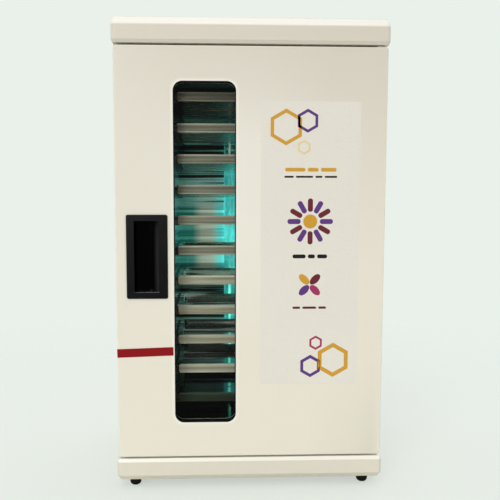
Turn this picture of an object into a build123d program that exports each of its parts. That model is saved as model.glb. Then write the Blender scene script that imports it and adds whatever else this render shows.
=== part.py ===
from build123d import *
import os

# Bench-top ultraviolet storage cabinet for dental instrument trays.
#
# Frame, in millimetres: +Z is up, +X is to the right of a person who faces the door, and -Y is
# towards that person. The origin is on the surface that the feet stand on, under the middle of
# the case. Every piece is modelled where it sits in the closed cabinet.

OVERRUN = 1.0           # how far a cutting or joining shape runs past the face that it meets
ROUND_END_FLAT = 0.01   # flat that a slot's round end keeps, on the radius

# ---------------------------------------------------------------------------------------------
# Driving dimensions
# ---------------------------------------------------------------------------------------------

# Case
BODY_WIDTH = 348.0              # over the side panels, and over the door
BODY_DEPTH = 250.0              # from the door's front face to the rear panel's outer face
CAP_OVERHANG = 2.0              # how far both caps stand out past the body, all round
CAP_CORNER_RADIUS = 5.0
CAP_ROOM_RADIUS = 1.5
CAP_WALL = 1.5
CAP_HEIGHT = 32.0
CAP_BEVEL_HEIGHT = 9.0          # sloped edge round the top of the top cap
CAP_BEVEL_SETBACK = 4.5
CAP_LIP_HEIGHT = 4.0            # small slope where each cap meets the body
CAP_EDGE_SOFTENING = 1.0
BASE_HEIGHT = 29.0
BASE_BEVEL_HEIGHT = 6.5         # sloped edge round the underside of the base cap
BASE_BEVEL_SETBACK = 4.5
DECK_THICKNESS = 1.5
DECK_HOLE_DIAMETER = 8.0        # round each hinge pin
SHEET = 1.2                     # painted steel sheet of the panels and the door skin
REAR_FLANGE = 14.0              # folded strip of each side panel behind the rear panel
FOOT_HEIGHT = 12.0
FOOT_DIAMETER = 15.0
FOOT_ROUNDING = 5.0
FOOT_INSET_X = 20.0             # foot centre from the side of the body
FOOT_INSET_Y = 17.0             # foot centre from the front or rear of the body
FOOT_STEM_DIAMETER = 6.0
FOOT_BARB_DIAMETER = 9.0
FOOT_BARB_HEIGHT = 2.5

# Door
DOOR_HEIGHT = 530.0
DOOR_THICKNESS = 22.0
DOOR_GAP_TOP = 2.5              # door to top cap
DOOR_GAP_BOTTOM = 2.0           # door to base cap
DOOR_CORNER_RADIUS = 4.0
DOOR_EDGE_ROUNDING = 2.0
SEAL_GAP = 4.5                  # closed door's inner face to the carcass
SEAL_WIDTH = 10.0
SEAL_MARGIN = 4.0               # chamber opening to the seal's inner edge
SEAL_RADIUS = 6.0
RUN_CLEARANCE = 0.3             # between faces that move past each other
HINGE_INSET = 10.0              # pivot line from the door's right edge

# Window in the door
WINDOW_WIDTH = 80.0
WINDOW_SILL = 46.5              # door's bottom edge to the window cut-out
WINDOW_HEAD = 43.5              # window cut-out to the door's top edge
WINDOW_RADIUS = 12.0
WINDOW_PAST_BAY = 0.5           # cut-out's left edge, left of the chamber
GLASS_THICKNESS = 5.0
GLASS_OVERLAP = 6.0             # glass past the edge of the window cut-out
GASKET_LIP = 1.5                # rubber seen round the glass
GASKET_THICKNESS = 1.2
GASKET_SINK = 0.3               # rubber lip behind the door's front face
REVEAL_WALL = 1.2
REVEAL_MARGIN = 1.0             # window cut-out to the reveal's inner face

# Recessed pull
HANDLE_WIDTH = 53.0
HANDLE_HEIGHT = 108.0
HANDLE_TO_WINDOW = 7.8          # bezel to the window cut-out
HANDLE_RISE = 265.2             # pull's centre above the door's bottom edge
HANDLE_PROUD = 1.8
HANDLE_RADIUS = 2.5
HANDLE_EDGE = 0.8
HANDLE_BORDER_LEFT = 10.0
HANDLE_BORDER_RIGHT = 11.5
HANDLE_BORDER_END = 8.0
HANDLE_SHELL_INSET = 2.0        # pocket shell inside the bezel's outline
HANDLE_DEPTH = 17.0             # pocket shell behind the door's front face
HANDLE_WALL = 1.8
HANDLE_UNDERCUT = 5.0           # finger room behind the left border
HANDLE_UNDERCUT_START = 4.0
HANDLE_SCOOP = 13.0             # width of the curved right side
HANDLE_SCOOP_START = 1.5

# Printed sheets on the door
LABEL_WIDTH = 128.0
LABEL_HEIGHT = 365.0
LABEL_OFF_CENTRE = 0.95         # left of the middle of the plain part of the door
LABEL_RISE = 279.5              # sheet's centre above the door's bottom edge
LABEL_RADIUS = 1.0
SHEET_FILM = 0.25
STRIP_WIDTH = 73.0
STRIP_HEIGHT = 11.2
STRIP_RADIUS = 0.6
STRIP_MARGIN = 1.5              # strip's right end to the window cut-out
STRIP_RISE = 140.8              # strip's centre above the door's bottom edge
STRIP_TILT = 1.85               # degrees

# Tray chamber
BAY_WIDTH = 75.0                # electrical bay, from the body's left side to the chamber
SILL_HEIGHT = 19.0
HEADER_HEIGHT = 23.5
HINGE_BAY_WIDTH = 43.0          # chamber to the body's right side
LINER = 1.0                     # polished stainless sheet
LEAD_ROOM = 24.0                # chamber's back sheet to the outside of the rear panel

# Trays and rails
TRAY_COUNT = 11
TRAY_HEIGHT = 12.0
TRAY_WALL = 1.0
TRAY_CORNER_RADIUS = 7.0
TRAY_FLOOR_ROUNDING = 3.0
TRAY_SETBACK = 11.5             # carcass front to the tray's rim
FIRST_TRAY_RISE = 59.6          # chamber floor to the lowest tray's rim top
TOP_TRAY_ROOM = 29.4            # highest tray's rim top to the chamber ceiling
TRAY_REAR_ROOM = 9.0            # tray to the lamp holders
RIM_THICKNESS = 2.0
RIM_SIDE = 5.0
RIM_FRONT = 1.5                 # rim and lip in front of the pan
RIM_ROUNDING = 0.6
LIP_SIDE = 3.4                  # upright front lip past the pan, each side
LIP_RADIUS = 2.6
LIP_ROUNDING = 0.5
RAIL_WIDTH = 6.4
RAIL_HEIGHT = 10.5
RAIL_OVERRUN = 6.0              # rail past the tray's rear
RAIL_WALL = 1.0
TRAY_SIDE_CLEARANCE = 0.6

# Lamp
LAMP_DIAMETER = 25.5
LAMP_CAP_LENGTH = 12.0
LAMP_CAP_STEP = 0.25            # cap over the glass, on the radius
LAMP_TO_BACK = 20.0             # lamp axis in front of the chamber's back sheet
LAMP_RISE = 13.5                # chamber floor to the lamp's lower end
LAMP_TOP_ROOM = 41.5            # lamp's upper end to the chamber ceiling
LAMP_PIN_DIAMETER = 2.4
LAMP_PIN_LENGTH = 7.0
LAMP_PIN_SPACING = 12.7
HOLDER_WIDTH = 24.0
HOLDER_THICKNESS = 12.0
HOLDER_CLEARANCE = 0.5          # lamp cap to holder
HOLDER_REACH = 34.0             # back sheet to the holder's front face
SPIGOT_DIAMETER = 9.0           # holder's neck through the back sheet
SPIGOT_LENGTH = 3.0             # neck behind the back sheet
REFLECTOR_BASE = 70.0
REFLECTOR_DEPTH = 14.0
REFLECTOR_LIP = 10.0
REFLECTOR_SHEET = 1.0
REFLECTOR_END_GAP = 2.0         # reflector to each holder

# Electrical parts
BALLAST_SIZE = (28.0, 41.0, 150.0)
BAY_SETBACK = 95.0              # row of electrical parts, in front of the case's rear
BALLAST_RISE = 159.0            # ballast's lower end above the base cap
BALLAST_TAB = 12.0
BALLAST_TAB_THICKNESS = 2.0
STARTER_DIAMETER = 21.5
STARTER_LENGTH = 36.0
STARTER_RISE = 60.0             # starter's centre above the ballast
STARTER_SOCKET_SIZE = (10.0, 30.0, 30.0)
TERMINAL_SIZE = (17.0, 60.0, 20.0)
TERMINAL_RISE = 99.0            # terminal block's centre above the base cap
TERMINAL_SCREW_DIAMETER = 4.0
TERMINAL_SCREW_LENGTH = 6.0
TERMINAL_SCREW_SLOT_DEPTH = 0.8
TERMINAL_WAYS = 5
INLET_RISE = 51.0               # inlet's centre above the base cap
INLET_FLANGE_WIDTH = 50.0
INLET_FLANGE_HEIGHT = 26.0
INLET_FLANGE_THICKNESS = 2.0
INLET_FLANGE_RADIUS = 4.0
INLET_BODY_WIDTH = 28.0
INLET_BODY_HEIGHT = 20.0
INLET_BODY_DEPTH = 20.0
INLET_SOCKET_WIDTH = 24.0
INLET_SOCKET_HEIGHT = 16.4
INLET_SOCKET_DEPTH = 17.0
INLET_PIN_SINK = 4.8            # pin tips below the mouth
INLET_PIN_WIDTH = 2.0
INLET_PIN_HEIGHT = 4.0
INLET_PIN_SPACING = 7.0
INLET_EARTH_OFFSET = 3.5
INLET_SCREW_SPACING = 40.0
INLET_SCREW_HEAD_DIAMETER = 5.6
INLET_SCREW_LENGTH = 10.0
LEAD_DIAMETER = 5.0
LEAD_BEND = 8.0                 # radius of a lead's bends
LEAD_STUB = 1.5                 # straight end after a lead's last bend
LEAD_OFFSET = 12.0              # first straight run of a lead, and its place beside an edge

# Control recess in the left side panel
CONTROL_WIDTH = 50.0            # along Y
CONTROL_HEIGHT = 104.0
CONTROL_SETBACK = 68.5          # recess's centre behind the carcass front
CONTROL_RISE = 207.0            # recess's centre above the base cap
CONTROL_RADIUS = 6.0
CONTROL_SINK = 6.0
CONTROL_FLANGE = 7.0
ROCKER_WIDTH = 12.4
ROCKER_LENGTH = 18.4
ROCKER_END_RISE = 2.0
ROCKER_MIDDLE_RISE = 0.9
ROCKER_BODY = 5.0               # rocker behind the bezel face
ROCKER_TILT = 9.0               # degrees each side of level
ROCKER_PIVOT_SINK = 2.5         # pivot line behind the bezel face
ROCKER_PIN_DIAMETER = 2.4
ROCKER_END_CLEARANCE = 1.0
ROCKER_END_BODY = 3.0           # rocker's ends behind the bezel face
ROCKER_Z_OFFSET = 4.0           # above the middle of the recess
BEZEL_BORDER = 3.2
BEZEL_THICKNESS = 1.5
BEZEL_RADIUS = 2.0
SWITCH_BODY_DEPTH = 24.0
SWITCH_CAVITY_DEPTH = 9.0
PILOT_DIAMETER = 10.0
PILOT_RISE = 3.0
PILOT_ROUNDING = 1.5
PILOT_BORDER = 1.5
PILOT_BEZEL_THICKNESS = 1.0
PILOT_BODY_LENGTH = 12.0
PILOT_OFFSET = 32.0             # above the middle of the recess
FUSE_DIAMETER = 14.0
FUSE_RISE = 5.0
FUSE_OFFSET = -30.0
FUSE_BODY_LENGTH = 26.0
FUSE_SHOULDER = 1.5             # knob past the body, on the radius
FUSE_SLOT = 1.6

# Door switch, magnet catch and hinge
CATCH_INSET = 28.0              # catch's centre from the body's left side
CATCH_WIDTH = 14.0
CATCH_HEIGHT = 40.0
CATCH_DEPTH = 12.0              # behind the carcass front
CATCH_FLANGE = 6.0
CATCH_FLANGE_THICKNESS = 1.5
STRIKE_WIDTH = 16.0
STRIKE_HEIGHT = 46.0
STRIKE_THICKNESS = 1.0
DOOR_SWITCH_RISE = 91.8         # door switch above the catch
DOOR_SWITCH_WIDTH = 16.0
DOOR_SWITCH_HEIGHT = 26.0
DOOR_SWITCH_DEPTH = 26.0
DOOR_SWITCH_BARREL = 9.0
DOOR_SWITCH_BARREL_RISE = 1.0
DOOR_SWITCH_FRONT_WALL = 2.5
PLUNGER_DIAMETER = 5.0
PLUNGER_COLLAR = 8.0
PLUNGER_COLLAR_THICKNESS = 1.5
PLUNGER_TRAVEL = 4.0
PLUNGER_TAIL = 8.0
FIT_CLEARANCE = 0.05            # on the radius of a running fit
HINGE_PIN_DIAMETER = 6.0
HINGE_PIN_REACH = 14.0          # pin inside the door
HINGE_PLATE_THICKNESS = 3.0
HINGE_PLATE_WIDTH = 18.0
HINGE_PLATE_MARGIN = 6.0        # plate past the pin, to the right
HINGE_PLATE_LENGTH = 70.0
BUSH_DIAMETER = 10.0
BUSH_FLANGE_DIAMETER = 14.0
BUSH_LENGTH = 15.0

# Fasteners and vents in the rear panel
SCREW_HEAD_DIAMETER = 7.0
SCREW_HEAD_HEIGHT = 1.8
SCREW_SHANK_DIAMETER = 3.0
SCREW_LENGTH = 6.0
SCREW_EDGE = 8.0                # screw centre from the panel's side edge
SCREW_END_MARGIN = 22.0
SCREW_ROWS = 4
SCREW_SLOT_WIDTH = 1.0
VENT_LENGTH = 40.0
VENT_WIDTH = 3.2
VENT_PITCH = 9.0
VENT_COUNT = 9
VENT_RISE = 199.0               # lowest vent above the base cap

# ---------------------------------------------------------------------------------------------
# Planes and lines that the pieces share
# ---------------------------------------------------------------------------------------------

body_right = BODY_WIDTH / 2
body_left = -body_right
door_front = -BODY_DEPTH / 2
door_back = door_front + DOOR_THICKNESS
carcass_front = door_back + SEAL_GAP
body_rear = BODY_DEPTH / 2

base_bottom = FOOT_HEIGHT
base_top = base_bottom + BASE_HEIGHT
door_bottom = base_top + DOOR_GAP_BOTTOM
door_top = door_bottom + DOOR_HEIGHT
door_middle_z = (door_bottom + door_top) / 2
cap_bottom = door_top + DOOR_GAP_TOP
cap_top = cap_bottom + CAP_HEIGHT
carcass_height = cap_bottom - base_top

frame_back = carcass_front + SHEET
panel_inner_left = body_left + SHEET
panel_inner_right = body_right - SHEET
rear_inner = body_rear - SHEET

chamber_left = body_left + BAY_WIDTH
chamber_right = body_right - HINGE_BAY_WIDTH
chamber_width = chamber_right - chamber_left
chamber_x = (chamber_left + chamber_right) / 2
chamber_bottom = base_top + SILL_HEIGHT
chamber_top = cap_bottom - HEADER_HEIGHT
chamber_middle_z = (chamber_bottom + chamber_top) / 2
chamber_rear = body_rear - LEAD_ROOM

tray_width = chamber_width - 2 * (RAIL_WIDTH + TRAY_SIDE_CLEARANCE)
tray_front = carcass_front + TRAY_SETBACK
tray_rear = chamber_rear - HOLDER_REACH - TRAY_REAR_ROOM
tray_depth = tray_rear - tray_front
tray_pitch = (chamber_top - TOP_TRAY_ROOM - chamber_bottom - FIRST_TRAY_RISE) / (TRAY_COUNT - 1)
rail_front = tray_front + RIM_FRONT + RUN_CLEARANCE
rail_rear = tray_rear + RAIL_OVERRUN

pivot_x = body_right - HINGE_INSET
pivot_y = door_front + DOOR_THICKNESS / 2

glass_front = door_front + SHEET + GASKET_THICKNESS
glass_back = glass_front + GLASS_THICKNESS
liner_front = door_back - SHEET

lamp_y = chamber_rear - LAMP_TO_BACK
lamp_bottom = chamber_bottom + LAMP_RISE
lamp_top = chamber_top - LAMP_TOP_ROOM
lower_holder_z = lamp_bottom - HOLDER_CLEARANCE - HOLDER_THICKNESS / 2
upper_holder_z = lamp_top + HOLDER_CLEARANCE + HOLDER_THICKNESS / 2
spigot_end = chamber_rear + LINER + SPIGOT_LENGTH

window_left = chamber_left - WINDOW_PAST_BAY
window_right = window_left + WINDOW_WIDTH
window_height = DOOR_HEIGHT - WINDOW_SILL - WINDOW_HEAD
window_x = (window_left + window_right) / 2
window_z = door_bottom + WINDOW_SILL + window_height / 2
handle_x = window_left - HANDLE_TO_WINDOW - HANDLE_WIDTH / 2
handle_z = door_bottom + HANDLE_RISE
label_x = (window_right + body_right) / 2 - LABEL_OFF_CENTRE
label_z = door_bottom + LABEL_RISE
strip_z = door_bottom + STRIP_RISE
catch_x = body_left + CATCH_INSET
catch_z = handle_z
door_switch_z = catch_z + DOOR_SWITCH_RISE

bay_x = body_left + BAY_WIDTH / 2
bay_y = body_rear - BAY_SETBACK
ballast_z = base_top + BALLAST_RISE
starter_z = ballast_z + BALLAST_SIZE[2] + STARTER_RISE
terminal_z = base_top + TERMINAL_RISE
inlet_z = base_top + INLET_RISE
vent_z = base_top + VENT_RISE
control_y = carcass_front + CONTROL_SETBACK
control_z = base_top + CONTROL_RISE
control_face = body_left + CONTROL_SINK
bezel_face = control_face - BEZEL_THICKNESS
rocker_z = control_z + ROCKER_Z_OFFSET
switch_half_width = ROCKER_WIDTH / 2 + RUN_CLEARANCE + SHEET
switch_half_length = ROCKER_LENGTH / 2 + ROCKER_END_CLEARANCE + SHEET
rocker_pivot_x = bezel_face + ROCKER_PIVOT_SINK
fuse_body_radius = FUSE_DIAMETER / 2 - FUSE_SHOULDER
bay_wall = chamber_left - LINER
inlet_mouth = body_rear + INLET_FLANGE_THICKNESS

lower_plate_z = base_top - DECK_THICKNESS - HINGE_PLATE_THICKNESS
upper_plate_z = cap_bottom + DECK_THICKNESS

plunger_bore = PLUNGER_DIAMETER / 2 + FIT_CLEARANCE
plunger_tip = door_back + RUN_CLEARANCE
collar_front = frame_back + DOOR_SWITCH_FRONT_WALL + PLUNGER_TRAVEL + RUN_CLEARANCE


# ---------------------------------------------------------------------------------------------
# Shapes that several pieces share
# ---------------------------------------------------------------------------------------------

def block(x0, x1, y0, y1, z0, z1):
    """A plain block between two corners."""
    centre = Pos((x0 + x1) / 2, (y0 + y1) / 2, (z0 + z1) / 2)
    return centre * Box(x1 - x0, y1 - y0, z1 - z0)


def upright_plate(x, z, width, height, radius, y0, y1):
    """A plate that faces the front, with rounded corners, from y0 back to y1."""
    outline = RectangleRounded(width, height, radius)
    return Pos(x, 0, z) * extrude(Plane.XZ.offset(-y1) * outline, amount=y1 - y0)


def side_plate(y, z, width, height, radius, x0, x1):
    """A plate that faces the side, with rounded corners, from x0 to x1."""
    outline = RectangleRounded(width, height, radius)
    return Pos(0, y, z) * extrude(Plane.YZ.offset(x0) * outline, amount=x1 - x0)


def flat_plate(width, depth, radius, z0, z1):
    """A level plate over the middle of the case, with rounded corners."""
    outline = RectangleRounded(width, depth, radius)
    return extrude(Plane.XY.offset(z0) * outline, amount=z1 - z0)


def rod_z(x, y, radius, z0, z1):
    """A round bar along Z."""
    return Pos(x, y, (z0 + z1) / 2) * Cylinder(radius, z1 - z0)


def rod_y(x, z, radius, y0, y1):
    """A round bar along Y."""
    return Pos(x, (y0 + y1) / 2, z) * Rot(90, 0, 0) * Cylinder(radius, y1 - y0)


def rod_x(y, z, radius, x0, x1):
    """A round bar along X."""
    return Pos((x0 + x1) / 2, y, z) * Rot(0, 90, 0) * Cylinder(radius, x1 - x0)


def level_edges(solid, z):
    """The edges of a solid that lie in one level plane."""
    return solid.edges().filter_by_position(Axis.Z, z, z)


def save(name, shape):
    """Write one piece, or one group of like pieces, as a STEP file."""
    export_step(shape, os.path.join("parts", name + ".step"))


# ---------------------------------------------------------------------------------------------
# Case
# ---------------------------------------------------------------------------------------------

def cap_form(z0, z1, bevel_z, setback, height, lip_z):
    """The outer form of a cap: a rounded block, sloped at one edge and slightly at the other."""
    form = flat_plate(BODY_WIDTH + 2 * CAP_OVERHANG, BODY_DEPTH + 2 * CAP_OVERHANG,
                      CAP_CORNER_RADIUS, z0, z1)
    bevel_face = form.faces().filter_by_position(Axis.Z, bevel_z, bevel_z)[0]
    form = chamfer(level_edges(form, bevel_z), setback, height, reference=bevel_face)
    lip_face = form.faces().filter_by_position(Axis.Z, lip_z, lip_z)[0]
    return chamfer(level_edges(form, lip_z), CAP_OVERHANG, CAP_LIP_HEIGHT, reference=lip_face)


def cap_room(z0, z1, inset=0.0):
    """Room inside a cap, one wall thickness inside the body's outline."""
    shrink = 2 * (CAP_WALL + inset)
    return flat_plate(BODY_WIDTH - shrink, BODY_DEPTH - shrink, CAP_ROOM_RADIUS, z0, z1)


def make_top_cap():
    bevel_start = cap_top - CAP_BEVEL_HEIGHT
    cap = cap_form(cap_bottom, cap_top, cap_top, CAP_BEVEL_SETBACK, CAP_BEVEL_HEIGHT, cap_bottom)
    cap = fillet(level_edges(cap, cap_top) + level_edges(cap, bevel_start), CAP_EDGE_SOFTENING)
    cap -= cap_room(cap_bottom - OVERRUN, bevel_start)
    return cap - cap_room(cap_bottom, cap_top - CAP_WALL, CAP_BEVEL_SETBACK - CAP_OVERHANG)


def make_base_cap():
    bevel_end = base_bottom + BASE_BEVEL_HEIGHT
    cap = cap_form(base_bottom, base_top, base_bottom, BASE_BEVEL_SETBACK, BASE_BEVEL_HEIGHT, base_top)
    cap = fillet(level_edges(cap, base_bottom) + level_edges(cap, bevel_end), CAP_EDGE_SOFTENING)
    cap -= cap_room(bevel_end, base_top + OVERRUN)
    cap -= cap_room(base_bottom + CAP_WALL, base_top, BASE_BEVEL_SETBACK - CAP_OVERHANG)
    for x, y in foot_places():
        cap -= rod_z(x, y, FOOT_STEM_DIAMETER / 2, base_bottom - OVERRUN, base_bottom + CAP_WALL + OVERRUN)
    return cap


def make_deck(z0):
    """The sheet that closes a cap towards the body."""
    return cap_room(z0, z0 + DECK_THICKNESS) - rod_z(pivot_x, pivot_y, DECK_HOLE_DIAMETER / 2,
                                                     z0 - OVERRUN, z0 + DECK_THICKNESS + OVERRUN)


def foot_places():
    """Centres of the four feet."""
    x = body_right - FOOT_INSET_X
    y = body_rear - FOOT_INSET_Y
    return [(-x, -y), (x, -y), (-x, y), (x, y)]


def make_feet():
    feet = []
    for x, y in foot_places():
        pad = rod_z(x, y, FOOT_DIAMETER / 2, 0, base_bottom)
        pad = fillet(level_edges(pad, 0), FOOT_ROUNDING)
        stem_top = base_bottom + CAP_WALL
        pad += rod_z(x, y, FOOT_STEM_DIAMETER / 2, base_bottom - OVERRUN, stem_top + OVERRUN)
        pad += rod_z(x, y, FOOT_BARB_DIAMETER / 2, stem_top, stem_top + FOOT_BARB_HEIGHT)
        feet.append(pad)
    return Compound(children=feet)


def make_side_panel(side):
    """A painted side panel with a folded strip that the rear panel is screwed to."""
    outer = side * body_right
    inner = side * (body_right - SHEET)
    fold = side * (body_right - REAR_FLANGE)
    panel = block(min(outer, inner), max(outer, inner), carcass_front, rear_inner, base_top, cap_bottom)
    panel += block(min(inner, fold), max(inner, fold), rear_inner - SHEET, rear_inner,
                   base_top, cap_bottom)
    for x, z in screw_places():
        if x * side > 0:
            panel -= rod_y(x, z, SCREW_SHANK_DIAMETER / 2, rear_inner - SHEET - OVERRUN, rear_inner + OVERRUN)
    if side < 0:
        panel -= side_plate(control_y, control_z, CONTROL_WIDTH, CONTROL_HEIGHT, CONTROL_RADIUS,
                            body_left - OVERRUN, body_left + SHEET + OVERRUN)
    return panel


def screw_places():
    """Rear panel screws, as (x, z), in a column down each side."""
    span = carcass_height - 2 * SCREW_END_MARGIN
    places = []
    for side in (-1, 1):
        for row in range(SCREW_ROWS):
            z = base_top + SCREW_END_MARGIN + span * row / (SCREW_ROWS - 1)
            places.append((side * (body_right - SCREW_EDGE), z))
    return places


def make_rear_panel():
    panel = block(body_left, body_right, rear_inner, body_rear, base_top, cap_bottom)
    for x, z in screw_places():
        panel -= rod_y(x, z, SCREW_SHANK_DIAMETER / 2, rear_inner - OVERRUN, body_rear + OVERRUN)
    for row in range(VENT_COUNT):
        z = vent_z + row * VENT_PITCH
        panel -= upright_plate(bay_x, z, VENT_LENGTH, VENT_WIDTH, VENT_WIDTH / 2 - ROUND_END_FLAT,
                               rear_inner - OVERRUN, body_rear + OVERRUN)
    panel -= block(bay_x - INLET_BODY_WIDTH / 2, bay_x + INLET_BODY_WIDTH / 2,
                   rear_inner - OVERRUN, body_rear + OVERRUN,
                   inlet_z - INLET_BODY_HEIGHT / 2, inlet_z + INLET_BODY_HEIGHT / 2)
    for x in inlet_screw_places():
        panel -= rod_y(x, inlet_z, SCREW_SHANK_DIAMETER / 2, rear_inner - OVERRUN, body_rear + OVERRUN)
    return panel


def panel_screw(x, z, seat_y):
    """A slotted screw whose head sits on seat_y and faces the rear."""
    screw = rod_y(x, z, SCREW_SHANK_DIAMETER / 2, seat_y - SCREW_LENGTH, seat_y)
    head = rod_y(x, z, SCREW_HEAD_DIAMETER / 2, seat_y, seat_y + SCREW_HEAD_HEIGHT)
    head -= block(x - SCREW_HEAD_DIAMETER, x + SCREW_HEAD_DIAMETER,
                  seat_y + SCREW_HEAD_HEIGHT / 2, seat_y + SCREW_HEAD_HEIGHT + OVERRUN,
                  z - SCREW_SLOT_WIDTH / 2, z + SCREW_SLOT_WIDTH / 2)
    return screw + head


def inlet_screw_head(x):
    """The cone of a flush screw in the inlet's flange, which is its seat too."""
    narrow = SCREW_SHANK_DIAMETER / 2
    wide = INLET_SCREW_HEAD_DIAMETER / 2
    height = wide - narrow
    return Pos(x, inlet_mouth - height / 2, inlet_z) * Rot(-90, 0, 0) * Cone(narrow, wide, height)


def inlet_screw_places():
    """Centres of the inlet's two screws, along X."""
    return [bay_x + side * INLET_SCREW_SPACING / 2 for side in (-1, 1)]


def inlet_screw(x):
    """A flush slotted screw through the inlet's flange and the rear panel."""
    shank = rod_y(x, inlet_z, SCREW_SHANK_DIAMETER / 2, inlet_mouth - INLET_SCREW_LENGTH, inlet_mouth)
    slot = block(x - INLET_SCREW_HEAD_DIAMETER, x + INLET_SCREW_HEAD_DIAMETER,
                 inlet_mouth - SCREW_SLOT_WIDTH, inlet_mouth + OVERRUN,
                 inlet_z - SCREW_SLOT_WIDTH / 2, inlet_z + SCREW_SLOT_WIDTH / 2)
    return shank + inlet_screw_head(x) - slot


def make_panel_screws():
    """The rear panel's screws, and the two flush ones that hold the inlet."""
    screws = [panel_screw(x, z, body_rear) for x, z in screw_places()]
    return Compound(children=screws + [inlet_screw(x) for x in inlet_screw_places()])


def make_front_frame():
    """The carcass front: one sheet with the chamber opening."""
    frame = block(panel_inner_left, panel_inner_right, carcass_front, frame_back, base_top, cap_bottom)
    frame -= block(chamber_left, chamber_right, carcass_front - OVERRUN, frame_back + OVERRUN,
                   chamber_bottom, chamber_top)
    frame -= block(catch_x - CATCH_WIDTH / 2, catch_x + CATCH_WIDTH / 2,
                   carcass_front - OVERRUN, frame_back + OVERRUN,
                   catch_z - CATCH_HEIGHT / 2, catch_z + CATCH_HEIGHT / 2)
    return frame - rod_y(catch_x, door_switch_z, DOOR_SWITCH_BARREL / 2,
                         carcass_front - OVERRUN, frame_back + OVERRUN)


# ---------------------------------------------------------------------------------------------
# Chamber, rails and trays
# ---------------------------------------------------------------------------------------------

def make_chamber_wall(side):
    """A side sheet of the chamber."""
    if side < 0:
        x0, x1 = chamber_left - LINER, chamber_left
    else:
        x0, x1 = chamber_right, chamber_right + LINER
    return block(x0, x1, frame_back, chamber_rear, chamber_bottom - LINER, chamber_top + LINER)


def make_chamber_back():
    sheet = block(chamber_left - LINER, chamber_right + LINER, chamber_rear, chamber_rear + LINER,
                  chamber_bottom - LINER, chamber_top + LINER)
    for z in (lower_holder_z, upper_holder_z):
        sheet -= rod_y(chamber_x, z, SPIGOT_DIAMETER / 2,
                       chamber_rear - OVERRUN, chamber_rear + LINER + OVERRUN)
    return sheet


def make_chamber_ceiling():
    return block(chamber_left, chamber_right, frame_back, chamber_rear, chamber_top, chamber_top + LINER)


def make_chamber_floor():
    return block(chamber_left, chamber_right, frame_back, chamber_rear,
                 chamber_bottom - LINER, chamber_bottom)


def tray_top(number):
    """Height of a tray's rim; tray 1 is the highest."""
    return chamber_bottom + FIRST_TRAY_RISE + (TRAY_COUNT - number) * tray_pitch


def make_rails(side):
    """The folded rails that the trays' rims run on, one side of the chamber."""
    rails = []
    for number in range(1, TRAY_COUNT + 1):
        z1 = tray_top(number) - RIM_THICKNESS - RUN_CLEARANCE
        z0 = z1 - RAIL_HEIGHT
        if side < 0:
            x0, x1 = chamber_left, chamber_left + RAIL_WIDTH
            hollow_x0, hollow_x1 = x0 - OVERRUN, x1 - RAIL_WALL
        else:
            x0, x1 = chamber_right - RAIL_WIDTH, chamber_right
            hollow_x0, hollow_x1 = x0 + RAIL_WALL, x1 + OVERRUN
        rail = block(x0, x1, rail_front, rail_rear, z0, z1)
        rail -= block(hollow_x0, hollow_x1, rail_front + RAIL_WALL, rail_rear + OVERRUN,
                      z0 + RAIL_WALL, z1 - RAIL_WALL)
        rails.append(rail)
    return Compound(children=rails)


def make_tray(number):
    """A pressed tray: a shallow pan that hangs by its rim, with an upright lip at its front."""
    z1 = tray_top(number)
    z0 = z1 - TRAY_HEIGHT
    y = (tray_front + tray_rear) / 2
    pan_depth = tray_depth - 2 * RIM_FRONT
    place = Pos(chamber_x, y, 0)
    pan = place * flat_plate(tray_width, pan_depth, TRAY_CORNER_RADIUS, z0, z1)
    pan = fillet(level_edges(pan, z0), TRAY_FLOOR_ROUNDING)
    rim = place * flat_plate(tray_width + 2 * RIM_SIDE, tray_depth, TRAY_CORNER_RADIUS + RIM_FRONT,
                             z1 - RIM_THICKNESS, z1)
    rim = fillet(level_edges(rim, z1) + level_edges(rim, z1 - RIM_THICKNESS), RIM_ROUNDING)
    hollow = place * flat_plate(tray_width - 2 * TRAY_WALL, pan_depth - 2 * TRAY_WALL,
                                TRAY_CORNER_RADIUS - TRAY_WALL, z0 + TRAY_WALL, z1 + OVERRUN)
    hollow = fillet(level_edges(hollow, z0 + TRAY_WALL), TRAY_FLOOR_ROUNDING - TRAY_WALL)
    lip = upright_plate(chamber_x, (z0 + z1) / 2, tray_width + 2 * LIP_SIDE, TRAY_HEIGHT, LIP_RADIUS,
                        tray_front, tray_front + RIM_FRONT)
    lip = fillet(lip.edges().filter_by_position(Axis.Y, tray_front, tray_front), LIP_ROUNDING)
    return pan + rim - hollow + lip


# ---------------------------------------------------------------------------------------------
# Lamp
# ---------------------------------------------------------------------------------------------

def make_uv_lamp():
    return rod_z(chamber_x, lamp_y, LAMP_DIAMETER / 2,
                 lamp_bottom + LAMP_CAP_LENGTH, lamp_top - LAMP_CAP_LENGTH)


def lamp_pins(z0, z1):
    """Two contact pins side by side."""
    left = rod_z(chamber_x - LAMP_PIN_SPACING / 2, lamp_y, LAMP_PIN_DIAMETER / 2, z0, z1)
    right = rod_z(chamber_x + LAMP_PIN_SPACING / 2, lamp_y, LAMP_PIN_DIAMETER / 2, z0, z1)
    return left + right


def make_lamp_end_caps():
    radius = LAMP_DIAMETER / 2 + LAMP_CAP_STEP
    lower = rod_z(chamber_x, lamp_y, radius, lamp_bottom, lamp_bottom + LAMP_CAP_LENGTH)
    lower += lamp_pins(lamp_bottom - LAMP_PIN_LENGTH, lamp_bottom + OVERRUN)
    upper = rod_z(chamber_x, lamp_y, radius, lamp_top - LAMP_CAP_LENGTH, lamp_top)
    upper += lamp_pins(lamp_top - OVERRUN, lamp_top + LAMP_PIN_LENGTH)
    return Compound(children=[lower, upper])


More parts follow.
